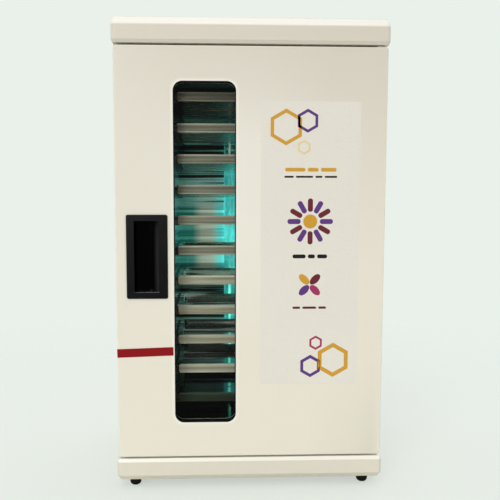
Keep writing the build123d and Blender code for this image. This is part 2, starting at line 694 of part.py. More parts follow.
def lamp_holder(z):
    """A round-nosed holder on the chamber's back sheet, with a neck through the sheet."""
    z0, z1 = z - HOLDER_THICKNESS / 2, z + HOLDER_THICKNESS / 2
    nose_y = chamber_rear - HOLDER_REACH + HOLDER_WIDTH / 2
    body = block(chamber_x - HOLDER_WIDTH / 2, chamber_x + HOLDER_WIDTH / 2, nose_y, chamber_rear, z0, z1)
    body += rod_z(chamber_x, nose_y, HOLDER_WIDTH / 2, z0, z1)
    return body + rod_y(chamber_x, z, SPIGOT_DIAMETER / 2, chamber_rear - OVERRUN, spigot_end)


def make_lamp_holders():
    slot_half_x = LAMP_PIN_SPACING / 2 + LAMP_PIN_DIAMETER / 2 + RUN_CLEARANCE
    slot_half_y = LAMP_PIN_DIAMETER / 2 + RUN_CLEARANCE
    slot_reach = LAMP_PIN_LENGTH + RUN_CLEARANCE
    lower = lamp_holder(lower_holder_z)
    lower -= block(chamber_x - slot_half_x, chamber_x + slot_half_x,
                   lamp_y - slot_half_y, lamp_y + slot_half_y, lamp_bottom - slot_reach, lamp_bottom)
    upper = lamp_holder(upper_holder_z)
    upper -= block(chamber_x - slot_half_x, chamber_x + slot_half_x,
                   lamp_y - slot_half_y, lamp_y + slot_half_y, lamp_top, lamp_top + slot_reach)
    return Compound(children=[lower, upper])


def make_lamp_reflector():
    """A hat-shaped sheet behind the lamp, with a narrow lip down each side."""
    z0 = lamp_bottom - HOLDER_CLEARANCE + REFLECTOR_END_GAP
    z1 = lamp_top + HOLDER_CLEARANCE - REFLECTOR_END_GAP
    half = REFLECTOR_BASE / 2
    base_y = chamber_rear - REFLECTOR_SHEET
    lip_y = chamber_rear - REFLECTOR_DEPTH
    sheet = block(chamber_x - half, chamber_x + half, base_y, chamber_rear, z0, z1)
    for side in (-1, 1):
        wall_x = chamber_x + side * half
        wall_inner = wall_x - side * REFLECTOR_SHEET
        lip_x = wall_x + side * (REFLECTOR_LIP - REFLECTOR_SHEET)
        sheet += block(min(wall_x, wall_inner), max(wall_x, wall_inner), lip_y, chamber_rear, z0, z1)
        sheet += block(min(wall_inner, lip_x), max(wall_inner, lip_x),
                       lip_y, lip_y + REFLECTOR_SHEET, z0, z1)
    return sheet


# ---------------------------------------------------------------------------------------------
# Electrical bay
# ---------------------------------------------------------------------------------------------

def make_ballast():
    width, depth, height = BALLAST_SIZE
    x1 = bay_wall
    y0, y1 = bay_y - depth / 2, bay_y + depth / 2
    core = block(x1 - width, x1, y0, y1, ballast_z, ballast_z + height)
    tabs = block(x1 - BALLAST_TAB_THICKNESS, x1, y0, y1,
                 ballast_z - BALLAST_TAB, ballast_z + height + BALLAST_TAB)
    return core + tabs


def make_starter():
    socket_x, socket_y, socket_z = STARTER_SOCKET_SIZE
    x1 = bay_wall
    socket = block(x1 - socket_x, x1, bay_y - socket_y / 2, bay_y + socket_y / 2,
                   starter_z - socket_z / 2, starter_z + socket_z / 2)
    can = rod_x(bay_y, starter_z, STARTER_DIAMETER / 2, x1 - socket_x - STARTER_LENGTH, x1 - socket_x)
    return socket + can


def make_terminal_block():
    """A terminal block with its own clamping screws, each at the bottom of its well."""
    thickness, length, height = TERMINAL_SIZE
    x1 = bay_wall
    body = block(x1 - thickness, x1, bay_y - length / 2, bay_y + length / 2,
                 terminal_z - height / 2, terminal_z + height / 2)
    well_floor = x1 - thickness / 2
    screw_top = well_floor - TERMINAL_SCREW_LENGTH
    screws = []
    for way in range(TERMINAL_WAYS):
        y = bay_y + length * ((way + 0.5) / TERMINAL_WAYS - 0.5)
        body -= rod_x(y, terminal_z, TERMINAL_SCREW_DIAMETER / 2,
                      x1 - thickness - OVERRUN, well_floor)
        screw = rod_x(y, terminal_z, TERMINAL_SCREW_DIAMETER / 2 - FIT_CLEARANCE, screw_top, well_floor)
        screws.append(screw - block(screw_top - OVERRUN, screw_top + TERMINAL_SCREW_SLOT_DEPTH,
                                    y - TERMINAL_SCREW_DIAMETER, y + TERMINAL_SCREW_DIAMETER,
                                    terminal_z - SCREW_SLOT_WIDTH / 2, terminal_z + SCREW_SLOT_WIDTH / 2))
    return Compound(children=[body] + screws)


def make_mains_inlet():
    """A three-pin appliance inlet that faces the rear."""
    flange = upright_plate(bay_x, inlet_z, INLET_FLANGE_WIDTH, INLET_FLANGE_HEIGHT,
                           INLET_FLANGE_RADIUS, body_rear, inlet_mouth)
    body = block(bay_x - INLET_BODY_WIDTH / 2, bay_x + INLET_BODY_WIDTH / 2,
                 body_rear - INLET_BODY_DEPTH, body_rear,
                 inlet_z - INLET_BODY_HEIGHT / 2, inlet_z + INLET_BODY_HEIGHT / 2)
    socket_floor = inlet_mouth - INLET_SOCKET_DEPTH
    inlet = flange + body - block(bay_x - INLET_SOCKET_WIDTH / 2, bay_x + INLET_SOCKET_WIDTH / 2,
                                  socket_floor, inlet_mouth + OVERRUN,
                                  inlet_z - INLET_SOCKET_HEIGHT / 2, inlet_z + INLET_SOCKET_HEIGHT / 2)
    pins = [(-INLET_PIN_SPACING, 0), (INLET_PIN_SPACING, 0), (0, INLET_EARTH_OFFSET)]
    for offset_x, offset_z in pins:
        x, z = bay_x + offset_x, inlet_z + offset_z
        inlet += block(x - INLET_PIN_WIDTH / 2, x + INLET_PIN_WIDTH / 2,
                       socket_floor - OVERRUN, inlet_mouth - INLET_PIN_SINK,
                       z - INLET_PIN_HEIGHT / 2, z + INLET_PIN_HEIGHT / 2)
    for x in inlet_screw_places():
        inlet -= rod_y(x, inlet_z, SCREW_SHANK_DIAMETER / 2, body_rear - OVERRUN, inlet_mouth)
        inlet -= inlet_screw_head(x)
    return inlet


def make_control_plate():
    """A dished plate behind the cut-out in the left side panel, which holds the controls."""
    flange_x = panel_inner_left
    dish = side_plate(control_y, control_z, CONTROL_WIDTH + 2 * SHEET, CONTROL_HEIGHT + 2 * SHEET,
                      CONTROL_RADIUS + SHEET, flange_x, control_face + SHEET)
    dish += side_plate(control_y, control_z, CONTROL_WIDTH + 2 * CONTROL_FLANGE,
                       CONTROL_HEIGHT + 2 * CONTROL_FLANGE, CONTROL_RADIUS + CONTROL_FLANGE,
                       flange_x, flange_x + SHEET)
    dish -= side_plate(control_y, control_z, CONTROL_WIDTH, CONTROL_HEIGHT, CONTROL_RADIUS,
                       flange_x - OVERRUN, control_face)
    through = control_face + SHEET + OVERRUN
    dish -= block(control_face - OVERRUN, through,
                  control_y - switch_half_width, control_y + switch_half_width,
                  rocker_z - switch_half_length, rocker_z + switch_half_length)
    dish -= rod_x(control_y, control_z + PILOT_OFFSET, PILOT_DIAMETER / 2, control_face - OVERRUN, through)
    return dish - rod_x(control_y, control_z + FUSE_OFFSET, fuse_body_radius, control_face - OVERRUN, through)


def make_switch_housing():
    """The fixed part of the rocker switch: bezel, walls and back."""
    bezel = side_plate(control_y, rocker_z, 2 * (switch_half_width + BEZEL_BORDER),
                       2 * (switch_half_length + BEZEL_BORDER), BEZEL_RADIUS, bezel_face, control_face)
    body = block(bezel_face, control_face + SWITCH_BODY_DEPTH,
                 control_y - switch_half_width, control_y + switch_half_width,
                 rocker_z - switch_half_length, rocker_z + switch_half_length)
    cavity = block(bezel_face - OVERRUN, bezel_face + SWITCH_CAVITY_DEPTH,
                   control_y - switch_half_width + SHEET, control_y + switch_half_width - SHEET,
                   rocker_z - switch_half_length + SHEET, rocker_z + switch_half_length - SHEET)
    bore = rod_y(rocker_pivot_x, rocker_z, ROCKER_PIN_DIAMETER / 2 + FIT_CLEARANCE,
                 control_y - switch_half_width - OVERRUN, control_y + switch_half_width + OVERRUN)
    return bezel + body - cavity - bore


def make_power_rocker():
    """The rocker on its two short pins, stored pressed at its upper end, which is on."""
    half = ROCKER_LENGTH / 2
    sink = ROCKER_PIVOT_SINK
    outline = Polyline((-half, -sink - ROCKER_END_RISE), (0, -sink - ROCKER_MIDDLE_RISE),
                       (half, -sink - ROCKER_END_RISE), (half, ROCKER_END_BODY - sink),
                       (0, ROCKER_BODY - sink), (-half, ROCKER_END_BODY - sink), close=True)
    bar = extrude(make_face(outline), amount=ROCKER_WIDTH / 2, both=True)
    pivot = Plane(origin=(rocker_pivot_x, control_y, rocker_z), x_dir=(0, 0, 1), z_dir=(0, 1, 0))
    pins = rod_y(rocker_pivot_x, rocker_z, ROCKER_PIN_DIAMETER / 2,
                 control_y - switch_half_width + RUN_CLEARANCE,
                 control_y + switch_half_width - RUN_CLEARANCE)
    return pivot * Rot(0, 0, ROCKER_TILT) * bar + pins


def make_pilot_lamp():
    z = control_z + PILOT_OFFSET
    bezel = rod_x(control_y, z, PILOT_DIAMETER / 2 + PILOT_BORDER,
                  control_face - PILOT_BEZEL_THICKNESS, control_face)
    tip = control_face - PILOT_RISE
    lens = rod_x(control_y, z, PILOT_DIAMETER / 2, tip, control_face + PILOT_BODY_LENGTH)
    lens = fillet(lens.edges().filter_by_position(Axis.X, tip, tip), PILOT_ROUNDING)
    return bezel + lens


def make_fuse_holder():
    z = control_z + FUSE_OFFSET
    knob = rod_x(control_y, z, FUSE_DIAMETER / 2, control_face - FUSE_RISE, control_face)
    knob -= block(control_face - FUSE_RISE - OVERRUN, control_face - FUSE_RISE + FUSE_SLOT,
                  control_y - FUSE_DIAMETER, control_y + FUSE_DIAMETER,
                  z - FUSE_SLOT / 2, z + FUSE_SLOT / 2)
    return knob + rod_x(control_y, z, fuse_body_radius, control_face, control_face + FUSE_BODY_LENGTH)


# ---------------------------------------------------------------------------------------------
# Door
# ---------------------------------------------------------------------------------------------

def window_plate(margin, y0, y1):
    """A plate of the window's outline, larger by a margin all round."""
    return upright_plate(window_x, window_z, WINDOW_WIDTH + 2 * margin, window_height + 2 * margin,
                         WINDOW_RADIUS + margin, y0, y1)


def handle_plate(inset, y0, y1):
    """A plate of the pull's outline, smaller by an inset all round."""
    return upright_plate(handle_x, handle_z, HANDLE_WIDTH - 2 * inset, HANDLE_HEIGHT - 2 * inset,
                         HANDLE_RADIUS, y0, y1)


def make_door_skin():
    """The door's front sheet, folded back round all four edges."""
    outer = upright_plate(0, door_middle_z, BODY_WIDTH, DOOR_HEIGHT, DOOR_CORNER_RADIUS,
                          door_front, door_back)
    front_edges = outer.edges().filter_by_position(Axis.Y, door_front, door_front)
    outer = fillet(front_edges, DOOR_EDGE_ROUNDING)
    inner = upright_plate(0, door_middle_z, BODY_WIDTH - 2 * SHEET, DOOR_HEIGHT - 2 * SHEET,
                          DOOR_CORNER_RADIUS - SHEET, door_front + SHEET, door_back + OVERRUN)
    skin = outer - inner
    skin -= window_plate(0, door_front - OVERRUN, door_front + SHEET + OVERRUN)
    skin -= handle_plate(HANDLE_SHELL_INSET, door_front - OVERRUN, door_front + SHEET + OVERRUN)
    skin -= rod_z(pivot_x, pivot_y, BUSH_DIAMETER / 2, door_bottom - OVERRUN, door_bottom + SHEET + OVERRUN)
    return skin - rod_z(pivot_x, pivot_y, BUSH_DIAMETER / 2, door_top - SHEET - OVERRUN, door_top + OVERRUN)


def make_door_liner():
    """The sheet that closes the door towards the chamber."""
    sheet = upright_plate(0, door_middle_z, BODY_WIDTH - 2 * SHEET, DOOR_HEIGHT - 2 * SHEET,
                          DOOR_CORNER_RADIUS - SHEET, liner_front, door_back)
    return sheet - window_plate(REVEAL_MARGIN, liner_front - OVERRUN, door_back + OVERRUN)


def make_window_gasket():
    seat = window_plate(GLASS_OVERLAP, door_front + SHEET, glass_front)
    lip = window_plate(0, door_front + GASKET_SINK, door_front + SHEET)
    return seat + lip - window_plate(-GASKET_LIP, door_front - OVERRUN, glass_front + OVERRUN)


def make_window_glass():
    return window_plate(GLASS_OVERLAP, glass_front, glass_back)


def make_window_frame():
    """The reveal between glass and inner sheet, with a flange that holds the glass."""
    flange = window_plate(GLASS_OVERLAP, glass_back, glass_back + REVEAL_WALL)
    tunnel = window_plate(REVEAL_MARGIN + REVEAL_WALL, glass_back, liner_front)
    return flange + tunnel - window_plate(REVEAL_MARGIN, glass_back - OVERRUN, liner_front + OVERRUN)


def make_door_gasket():
    """The foam seal on the door's inner face, round the chamber opening."""
    inner_width = chamber_width + 2 * SEAL_MARGIN
    inner_height = chamber_top - chamber_bottom + 2 * SEAL_MARGIN
    y1 = carcass_front - RUN_CLEARANCE
    ring = upright_plate(chamber_x, chamber_middle_z, inner_width + 2 * SEAL_WIDTH,
                         inner_height + 2 * SEAL_WIDTH, SEAL_RADIUS + SEAL_WIDTH, door_back, y1)
    return ring - upright_plate(chamber_x, chamber_middle_z, inner_width, inner_height, SEAL_RADIUS,
                                door_back - OVERRUN, y1 + OVERRUN)


def make_handle_pocket():
    """The recessed pull: a bezel and a pocket, undercut at the left and scooped at the right."""
    face_y = door_front - HANDLE_PROUD
    bezel = handle_plate(0, face_y, door_front)
    bezel = fillet(bezel.edges().filter_by_position(Axis.Y, face_y, face_y), HANDLE_EDGE)
    shell = handle_plate(HANDLE_SHELL_INSET, door_front, door_front + HANDLE_DEPTH)
    left = handle_x - HANDLE_WIDTH / 2 + HANDLE_BORDER_LEFT
    right = handle_x + HANDLE_WIDTH / 2 - HANDLE_BORDER_RIGHT
    floor_y = door_front + HANDLE_DEPTH - HANDLE_WALL
    undercut_y = door_front + HANDLE_UNDERCUT_START
    scoop_y = door_front + HANDLE_SCOOP_START
    mouth_y = face_y - OVERRUN
    straight = Polyline((right, scoop_y), (right, mouth_y), (left, mouth_y), (left, undercut_y),
                        (left - HANDLE_UNDERCUT, undercut_y), (left - HANDLE_UNDERCUT, floor_y),
                        (right - HANDLE_SCOOP, floor_y))
    scoop = JernArc((right, scoop_y), (0, 1), HANDLE_SCOOP, 90)
    closing = Line(scoop @ 1, (right - HANDLE_SCOOP, floor_y))
    profile = make_face(straight.edges() + scoop.edges() + closing.edges())
    half = HANDLE_HEIGHT / 2 - HANDLE_BORDER_END
    hollow = Pos(0, 0, handle_z) * extrude(profile, amount=half, both=True)
    return bezel + shell - hollow


def make_strike_plate():
    return block(catch_x - STRIKE_WIDTH / 2, catch_x + STRIKE_WIDTH / 2,
                 door_back, door_back + STRIKE_THICKNESS,
                 catch_z - STRIKE_HEIGHT / 2, catch_z + STRIKE_HEIGHT / 2)


def make_front_label():
    return upright_plate(label_x, label_z, LABEL_WIDTH, LABEL_HEIGHT, LABEL_RADIUS,
                         door_front - SHEET_FILM, door_front)


def make_notice_strip():
    x = window_x - WINDOW_WIDTH / 2 - STRIP_MARGIN - STRIP_WIDTH / 2
    strip = upright_plate(0, 0, STRIP_WIDTH, STRIP_HEIGHT, STRIP_RADIUS, door_front - SHEET_FILM, door_front)
    return Pos(x, 0, strip_z) * Rot(0, -STRIP_TILT, 0) * strip


# ---------------------------------------------------------------------------------------------
# Hinge, catch and door switch
# ---------------------------------------------------------------------------------------------

def make_hinge_bushes():
    """A flanged bush in the door's top and bottom edges."""
    bore = HINGE_PIN_DIAMETER / 2 + FIT_CLEARANCE
    lower_flange = base_top + RUN_CLEARANCE
    upper_flange = cap_bottom - RUN_CLEARANCE
    lower = rod_z(pivot_x, pivot_y, BUSH_DIAMETER / 2, door_bottom, door_bottom + BUSH_LENGTH)
    lower += rod_z(pivot_x, pivot_y, BUSH_FLANGE_DIAMETER / 2, lower_flange, door_bottom)
    lower -= rod_z(pivot_x, pivot_y, bore, lower_flange - OVERRUN, door_bottom + BUSH_LENGTH + OVERRUN)
    upper = rod_z(pivot_x, pivot_y, BUSH_DIAMETER / 2, door_top - BUSH_LENGTH, door_top)
    upper += rod_z(pivot_x, pivot_y, BUSH_FLANGE_DIAMETER / 2, door_top, upper_flange)
    upper -= rod_z(pivot_x, pivot_y, bore, door_top - BUSH_LENGTH - OVERRUN, upper_flange + OVERRUN)
    return Compound(children=[lower, upper])


def hinge_plate(z0):
    """A steel strip behind the deck that carries one hinge pin."""
    y0 = pivot_y - HINGE_PLATE_WIDTH / 2
    x1 = pivot_x + HINGE_PLATE_MARGIN
    plate = block(x1 - HINGE_PLATE_WIDTH, x1, y0, y0 + HINGE_PLATE_LENGTH,
                  z0, z0 + HINGE_PLATE_THICKNESS)
    return plate - rod_z(pivot_x, pivot_y, HINGE_PIN_DIAMETER / 2,
                         z0 - OVERRUN, z0 + HINGE_PLATE_THICKNESS + OVERRUN)


def make_hinge_plates():
    return Compound(children=[hinge_plate(lower_plate_z), hinge_plate(upper_plate_z)])


def make_hinge_pins():
    lower = rod_z(pivot_x, pivot_y, HINGE_PIN_DIAMETER / 2, lower_plate_z, door_bottom + HINGE_PIN_REACH)
    upper = rod_z(pivot_x, pivot_y, HINGE_PIN_DIAMETER / 2, door_top - HINGE_PIN_REACH,
                  upper_plate_z + HINGE_PLATE_THICKNESS)
    return Compound(children=[lower, upper])


def make_magnet_catch():
    face_y = door_back + STRIKE_THICKNESS + RUN_CLEARANCE
    body = block(catch_x - CATCH_WIDTH / 2, catch_x + CATCH_WIDTH / 2,
                 face_y, carcass_front + CATCH_DEPTH,
                 catch_z - CATCH_HEIGHT / 2, catch_z + CATCH_HEIGHT / 2)
    flange = block(catch_x - CATCH_WIDTH / 2, catch_x + CATCH_WIDTH / 2,
                   frame_back, frame_back + CATCH_FLANGE_THICKNESS,
                   catch_z - CATCH_HEIGHT / 2 - CATCH_FLANGE, catch_z + CATCH_HEIGHT / 2 + CATCH_FLANGE)
    return body + flange


def make_door_switch_body():
    """The switch behind the carcass front that the closed door presses."""
    back = frame_back + DOOR_SWITCH_DEPTH
    body = block(catch_x - DOOR_SWITCH_WIDTH / 2, catch_x + DOOR_SWITCH_WIDTH / 2, frame_back, back,
                 door_switch_z - DOOR_SWITCH_HEIGHT / 2, door_switch_z + DOOR_SWITCH_HEIGHT / 2)
    body += rod_y(catch_x, door_switch_z, DOOR_SWITCH_BARREL / 2,
                  carcass_front - DOOR_SWITCH_BARREL_RISE, frame_back + OVERRUN)
    cavity_end = collar_front + PLUNGER_COLLAR_THICKNESS + PLUNGER_TAIL + RUN_CLEARANCE
    body -= rod_y(catch_x, door_switch_z, PLUNGER_COLLAR / 2 + RUN_CLEARANCE,
                  frame_back + DOOR_SWITCH_FRONT_WALL, cavity_end)
    return body - rod_y(catch_x, door_switch_z, plunger_bore,
                        carcass_front - DOOR_SWITCH_BARREL_RISE - OVERRUN, cavity_end)


def make_door_plunger():
    tail_end = collar_front + PLUNGER_COLLAR_THICKNESS + PLUNGER_TAIL
    stem = rod_y(catch_x, door_switch_z, PLUNGER_DIAMETER / 2, plunger_tip, tail_end)
    collar = rod_y(catch_x, door_switch_z, PLUNGER_COLLAR / 2,
                   collar_front, collar_front + PLUNGER_COLLAR_THICKNESS)
    return stem + collar


# ---------------------------------------------------------------------------------------------
# Wiring
# ---------------------------------------------------------------------------------------------

def lead(points):
    """A round insulated lead along straight runs joined by arcs."""
    path = FilletPolyline(*points, radius=LEAD_BEND)
    start = Plane(origin=path @ 0, z_dir=path % 0)
    return sweep(start * Circle(LEAD_DIAMETER / 2), path=path)


def make_supply_leads():
    """Inlet to terminal block, and terminal block to ballast."""
    terminal_x = bay_wall - TERMINAL_SIZE[0] / 2
    inlet = lead([(bay_x, body_rear - INLET_BODY_DEPTH, inlet_z), (bay_x, bay_y, inlet_z),
                  (terminal_x, bay_y, inlet_z), (terminal_x, bay_y, terminal_z - TERMINAL_SIZE[2] / 2)])
    feed = rod_z(terminal_x, bay_y, LEAD_DIAMETER / 2, terminal_z + TERMINAL_SIZE[2] / 2, ballast_z)
    return Compound(children=[inlet, feed])


def make_lamp_leads():
    """Ballast to the lower lamp holder, starter to the upper one, and ballast to starter."""
    ballast_x = bay_wall - BALLAST_SIZE[0] / 2
    ballast_top = ballast_z + BALLAST_SIZE[2]
    socket_x = bay_wall - STARTER_SOCKET_SIZE[0] / 2
    socket_half = STARTER_SOCKET_SIZE[2] / 2
    run_y = spigot_end + LEAD_BEND + LEAD_STUB
    lower = lead([(ballast_x, bay_y + BALLAST_SIZE[1] / 2, ballast_z + LEAD_OFFSET),
                  (ballast_x, run_y, ballast_z + LEAD_OFFSET), (ballast_x, run_y, lower_holder_z),
                  (chamber_x, run_y, lower_holder_z), (chamber_x, spigot_end, lower_holder_z)])
    upper = lead([(socket_x, bay_y, starter_z + socket_half), (socket_x, bay_y, upper_holder_z),
                  (socket_x, run_y, upper_holder_z), (chamber_x, run_y, upper_holder_z),
                  (chamber_x, spigot_end, upper_holder_z)])
    link = rod_z(socket_x, bay_y, LEAD_DIAMETER / 2, ballast_top, starter_z - socket_half)
    return Compound(children=[lower, upper, link])


def make_control_leads():
    """Rocker switch to terminal block, and door switch to terminal block."""
    terminal_face = bay_wall - TERMINAL_SIZE[0]
    near_y = bay_y - TERMINAL_SIZE[1] / 2 + LEAD_OFFSET
    switch_end = control_face + SWITCH_BODY_DEPTH
    switch = lead([(switch_end, control_y, rocker_z), (switch_end + LEAD_OFFSET, control_y, rocker_z),
                   (switch_end + LEAD_OFFSET, near_y, rocker_z),
                   (switch_end + LEAD_OFFSET, near_y, terminal_z), (terminal_face, near_y, terminal_z)])
    door_y = frame_back + DOOR_SWITCH_DEPTH
    drop_y = door_y + LEAD_OFFSET
    terminal_x = bay_wall - TERMINAL_SIZE[0] / 2
    door = lead([(catch_x, door_y, door_switch_z), (catch_x, drop_y, door_switch_z),
                 (catch_x, drop_y, terminal_z), (terminal_x, drop_y, terminal_z),
                 (terminal_x, bay_y - TERMINAL_SIZE[1] / 2, terminal_z)])
    return Compound(children=[switch, door])


# ---------------------------------------------------------------------------------------------
# Files
# ---------------------------------------------------------------------------------------------

def main():
    os.makedirs("parts", exist_ok=True)
    save("top_cap", make_top_cap())
    save("top_deck", make_deck(cap_bottom))
    save("base_cap", make_base_cap())
    save("base_deck", make_deck(base_top - DECK_THICKNESS))
    save("feet", make_feet())
    save("side_panel_left", make_side_panel(-1))
    save("side_panel_right", make_side_panel(1))
    save("rear_panel", make_rear_panel())
    save("panel_screws", make_panel_screws())
    save("front_frame", make_front_frame())
    save("chamber_wall_left", make_chamber_wall(-1))
    save("chamber_wall_right", make_chamber_wall(1))
    save("chamber_back", make_chamber_back())
    save("chamber_ceiling", make_chamber_ceiling())
    save("chamber_floor", make_chamber_floor())
    save("tray_rails_left", make_rails(-1))
    save("tray_rails_right", make_rails(1))
    for number in range(1, TRAY_COUNT + 1):
        save(f"tray_{number:02d}", make_tray(number))
    save("uv_lamp", make_uv_lamp())
    save("lamp_end_caps", make_lamp_end_caps())
    save("lamp_holders", make_lamp_holders())
    save("lamp_reflector", make_lamp_reflector())
    save("ballast", make_ballast())
    save("starter", make_starter())
    save("terminal_block", make_terminal_block())
    save("mains_inlet", make_mains_inlet())
    save("control_plate", make_control_plate())
    save("switch_housing", make_switch_housing())
    save("power_rocker", make_power_rocker())
    save("pilot_lamp", make_pilot_lamp())
    save("fuse_holder", make_fuse_holder())
    save("door_skin", make_door_skin())
    save("door_liner", make_door_liner())
    save("window_gasket", make_window_gasket())
    save("window_glass", make_window_glass())
    save("window_frame", make_window_frame())
    save("door_gasket", make_door_gasket())
    save("handle_pocket", make_handle_pocket())
    save("strike_plate", make_strike_plate())
    save("front_label", make_front_label())
    save("notice_strip", make_notice_strip())
    save("hinge_bushes", make_hinge_bushes())
    save("hinge_plates", make_hinge_plates())
    save("hinge_pins", make_hinge_pins())
    save("magnet_catch", make_magnet_catch())
    save("door_switch_body", make_door_switch_body())
    save("door_plunger", make_door_plunger())
    save("supply_leads", make_supply_leads())
    save("lamp_leads", make_lamp_leads())
    save("control_leads", make_control_leads())


main()
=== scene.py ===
import math

import bmesh
import bpy
from bpy.props import FloatProperty, FloatVectorProperty, IntProperty, PointerProperty
from mathutils import Matrix, Vector


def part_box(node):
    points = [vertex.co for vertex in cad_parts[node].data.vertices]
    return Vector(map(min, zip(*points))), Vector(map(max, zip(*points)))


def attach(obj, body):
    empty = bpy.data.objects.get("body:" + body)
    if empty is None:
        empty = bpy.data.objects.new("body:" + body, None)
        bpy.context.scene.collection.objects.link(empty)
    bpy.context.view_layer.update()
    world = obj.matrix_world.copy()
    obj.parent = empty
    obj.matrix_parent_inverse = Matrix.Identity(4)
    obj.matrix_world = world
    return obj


bl_info = {
    "name": "Ultraviolet tray cabinet",
    "version": (1, 0, 0),
    "blender": (4, 5, 0),
    "location": "3D View > Sidebar > Cabinet",
    "description": "Finishes, prints and small parts of a glazed ultraviolet tray cabinet",
    "category": "Object",
}

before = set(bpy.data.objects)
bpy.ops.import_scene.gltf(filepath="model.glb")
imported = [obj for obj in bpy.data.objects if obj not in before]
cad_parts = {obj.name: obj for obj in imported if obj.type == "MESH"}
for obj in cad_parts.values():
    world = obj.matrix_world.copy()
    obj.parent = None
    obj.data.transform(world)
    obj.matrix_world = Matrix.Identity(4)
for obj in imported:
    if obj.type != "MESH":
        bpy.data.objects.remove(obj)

MM = 0.001
BLACK = (0, 0, 0)
WHITE = (1, 1, 1)


# ---------- Colours ----------

def linear(red, green, blue):
    """A colour given as 0 to 255 display values, as linear values."""
    def channel(value):
        value /= 255
        return value / 12.92 if value <= 0.04045 else ((value + 0.055) / 1.055) ** 2.4
    return channel(red), channel(green), channel(blue)


def colour_setting(name, description, red, green, blue):
    return FloatVectorProperty(name=name, description=description, subtype="COLOR", size=3,
                               min=0, max=1, default=linear(red, green, blue))


def length_setting(name, description, millimetres):
    return FloatProperty(name=name, description=description, unit="LENGTH", min=0,
                         default=millimetres * MM)


class CABINET_PG_finishes(bpy.types.PropertyGroup):
    """Colours of the cabinet's surfaces"""
    paint: colour_setting("Paint", "Ivory powder coat of the case and door", 232, 224, 209)
    # Painted light: the case's ivory coat, painted lighter on the door's front.
    door_paint: colour_setting("Door paint", "Ivory powder coat of the door's front", 242, 235, 219)
    # Painted highlight: the near-white colour of sloped and rounded edges where light catches them.
    edge: colour_setting("Edge paint", "Paint where it is lightest, along sloped and rounded edges",
                         248, 244, 234)
    handle: colour_setting("Pull", "Moulded plastic of the recessed pull", 15, 15, 17)
    # Painted highlight: the light line along the pull's lower lip, and at 12 % of it the light strip on the
    # scoop's right wall.
    lip_highlight: colour_setting("Worn plastic", "Pull's plastic where fingers rub it", 160, 160, 162)
    rubber: colour_setting("Rubber", "Feet and window gasket", 12, 12, 12)
    seal: colour_setting("Seal", "Foam seal on the door's inner face", 70, 70, 68)
    steel: colour_setting("Steel", "Polished lining of the chamber", 178, 182, 176)
    steel_shade: colour_setting("Steel shade", "Darker streaks of the lining", 46, 54, 52)
    tray: colour_setting("Tray", "Polished steel of the trays", 252, 240, 216)
    tray_shade: colour_setting("Tray shade", "Darker streaks of the trays", 206, 190, 164)
    zinc: colour_setting("Zinc", "Plated brackets and screws", 178, 180, 178)
    label: colour_setting("Label", "Printed sheet on the door", 236, 231, 220)
    strip: colour_setting("Strip", "Small strip on the door", 146, 16, 24)
    glass: colour_setting("Glass", "Tint of the window", 244, 249, 247)
    glow: colour_setting("Glow", "Light of the lamp", 84, 228, 222)
    glow_edge: colour_setting("Glow edge", "Light of the lamp far from it", 18, 94, 84)
    room: colour_setting("Room", "Daylight mixed into the lamp's light on the lining", 142, 152, 134)
    glow_strength: FloatProperty(name="Glow strength", description="Brightness of the lamp's middle",
                                 min=0, default=10)
    haze_strength: FloatProperty(name="Haze strength", min=0, default=1.5,
                                 description="Brightness of the lamp's light on the steel round it")


class CABINET_PG_print(bpy.types.PropertyGroup):
    """Sizes and colours of the printed sheet's design"""
    thickness: length_setting("Ink thickness", "How far the print stands off the sheet", 0.05)
    margin: length_setting("Margin", "Sheet's edge to the nearest print", 9)
    large_cell: length_setting("Large cell", "Radius of the large six-sided outlines", 23)
    middle_cell: length_setting("Middle cell", "Radius of the middle six-sided outlines", 15)
    small_cell: length_setting("Small cell", "Radius of the small six-sided outlines", 9.5)
    ray_length: length_setting("Ray", "Length of each ray of the sun figure", 17)
    ray_width: length_setting("Ray width", "Width of each ray of the sun figure", 6.5)
    sun_radius: length_setting("Sun", "Radius of the disc in the sun figure", 9)
    ray_count: IntProperty(name="Rays", description="Rays round the disc", min=3, default=12)
    gold: colour_setting("Gold", "First ink", 214, 160, 52)
    purple: colour_setting("Purple", "Second ink", 98, 60, 132)
    magenta: colour_setting("Magenta", "Third ink", 168, 52, 98)
    maroon: colour_setting("Maroon", "Fourth ink", 112, 40, 52)
    black: colour_setting("Black", "Fifth ink", 34, 30, 30)
    cream: colour_setting("Cream", "Sixth ink", 236, 214, 168)


class CABINET_PG_stage(bpy.types.PropertyGroup):
    """Floor, background, lamps and camera"""
    background: colour_setting("Background", "Colour behind the cabinet", 234, 241, 234)
    floor_radius: FloatProperty(name="Floor radius", description="Size of the floor", unit="LENGTH",
                                default=4.0)
    camera_place: FloatVectorProperty(name="Camera", description="Where the camera stands",
                                      subtype="TRANSLATION", unit="LENGTH", size=3,
                                      default=(-0.06235, -0.97366, 0.3555))
    camera_turn: FloatProperty(name="Turn", description="Camera's turn to the right", unit="ROTATION",
                               default=0.0389)
    camera_dip: FloatProperty(name="Dip", description="Camera's tilt downwards", unit="ROTATION",
                              default=0.0985)
    lens: FloatProperty(name="Lens", description="Focal length in millimetres", default=47.41)
    shift_x: FloatProperty(name="Shift X", description="Sideways lens shift", default=0.0432)
    shift_y: FloatProperty(name="Shift Y", description="Upward lens shift", default=0.0701)


# ---------- Shader nodes ----------

def object_coordinates(tree):
    return tree.nodes.new("ShaderNodeTexCoord").outputs["Object"]


def separate(tree, vector):
    """The X, Y and Z outputs of a vector."""
    split = tree.nodes.new("ShaderNodeSeparateXYZ")
    tree.links.new(vector, split.inputs[0])
    return split.outputs


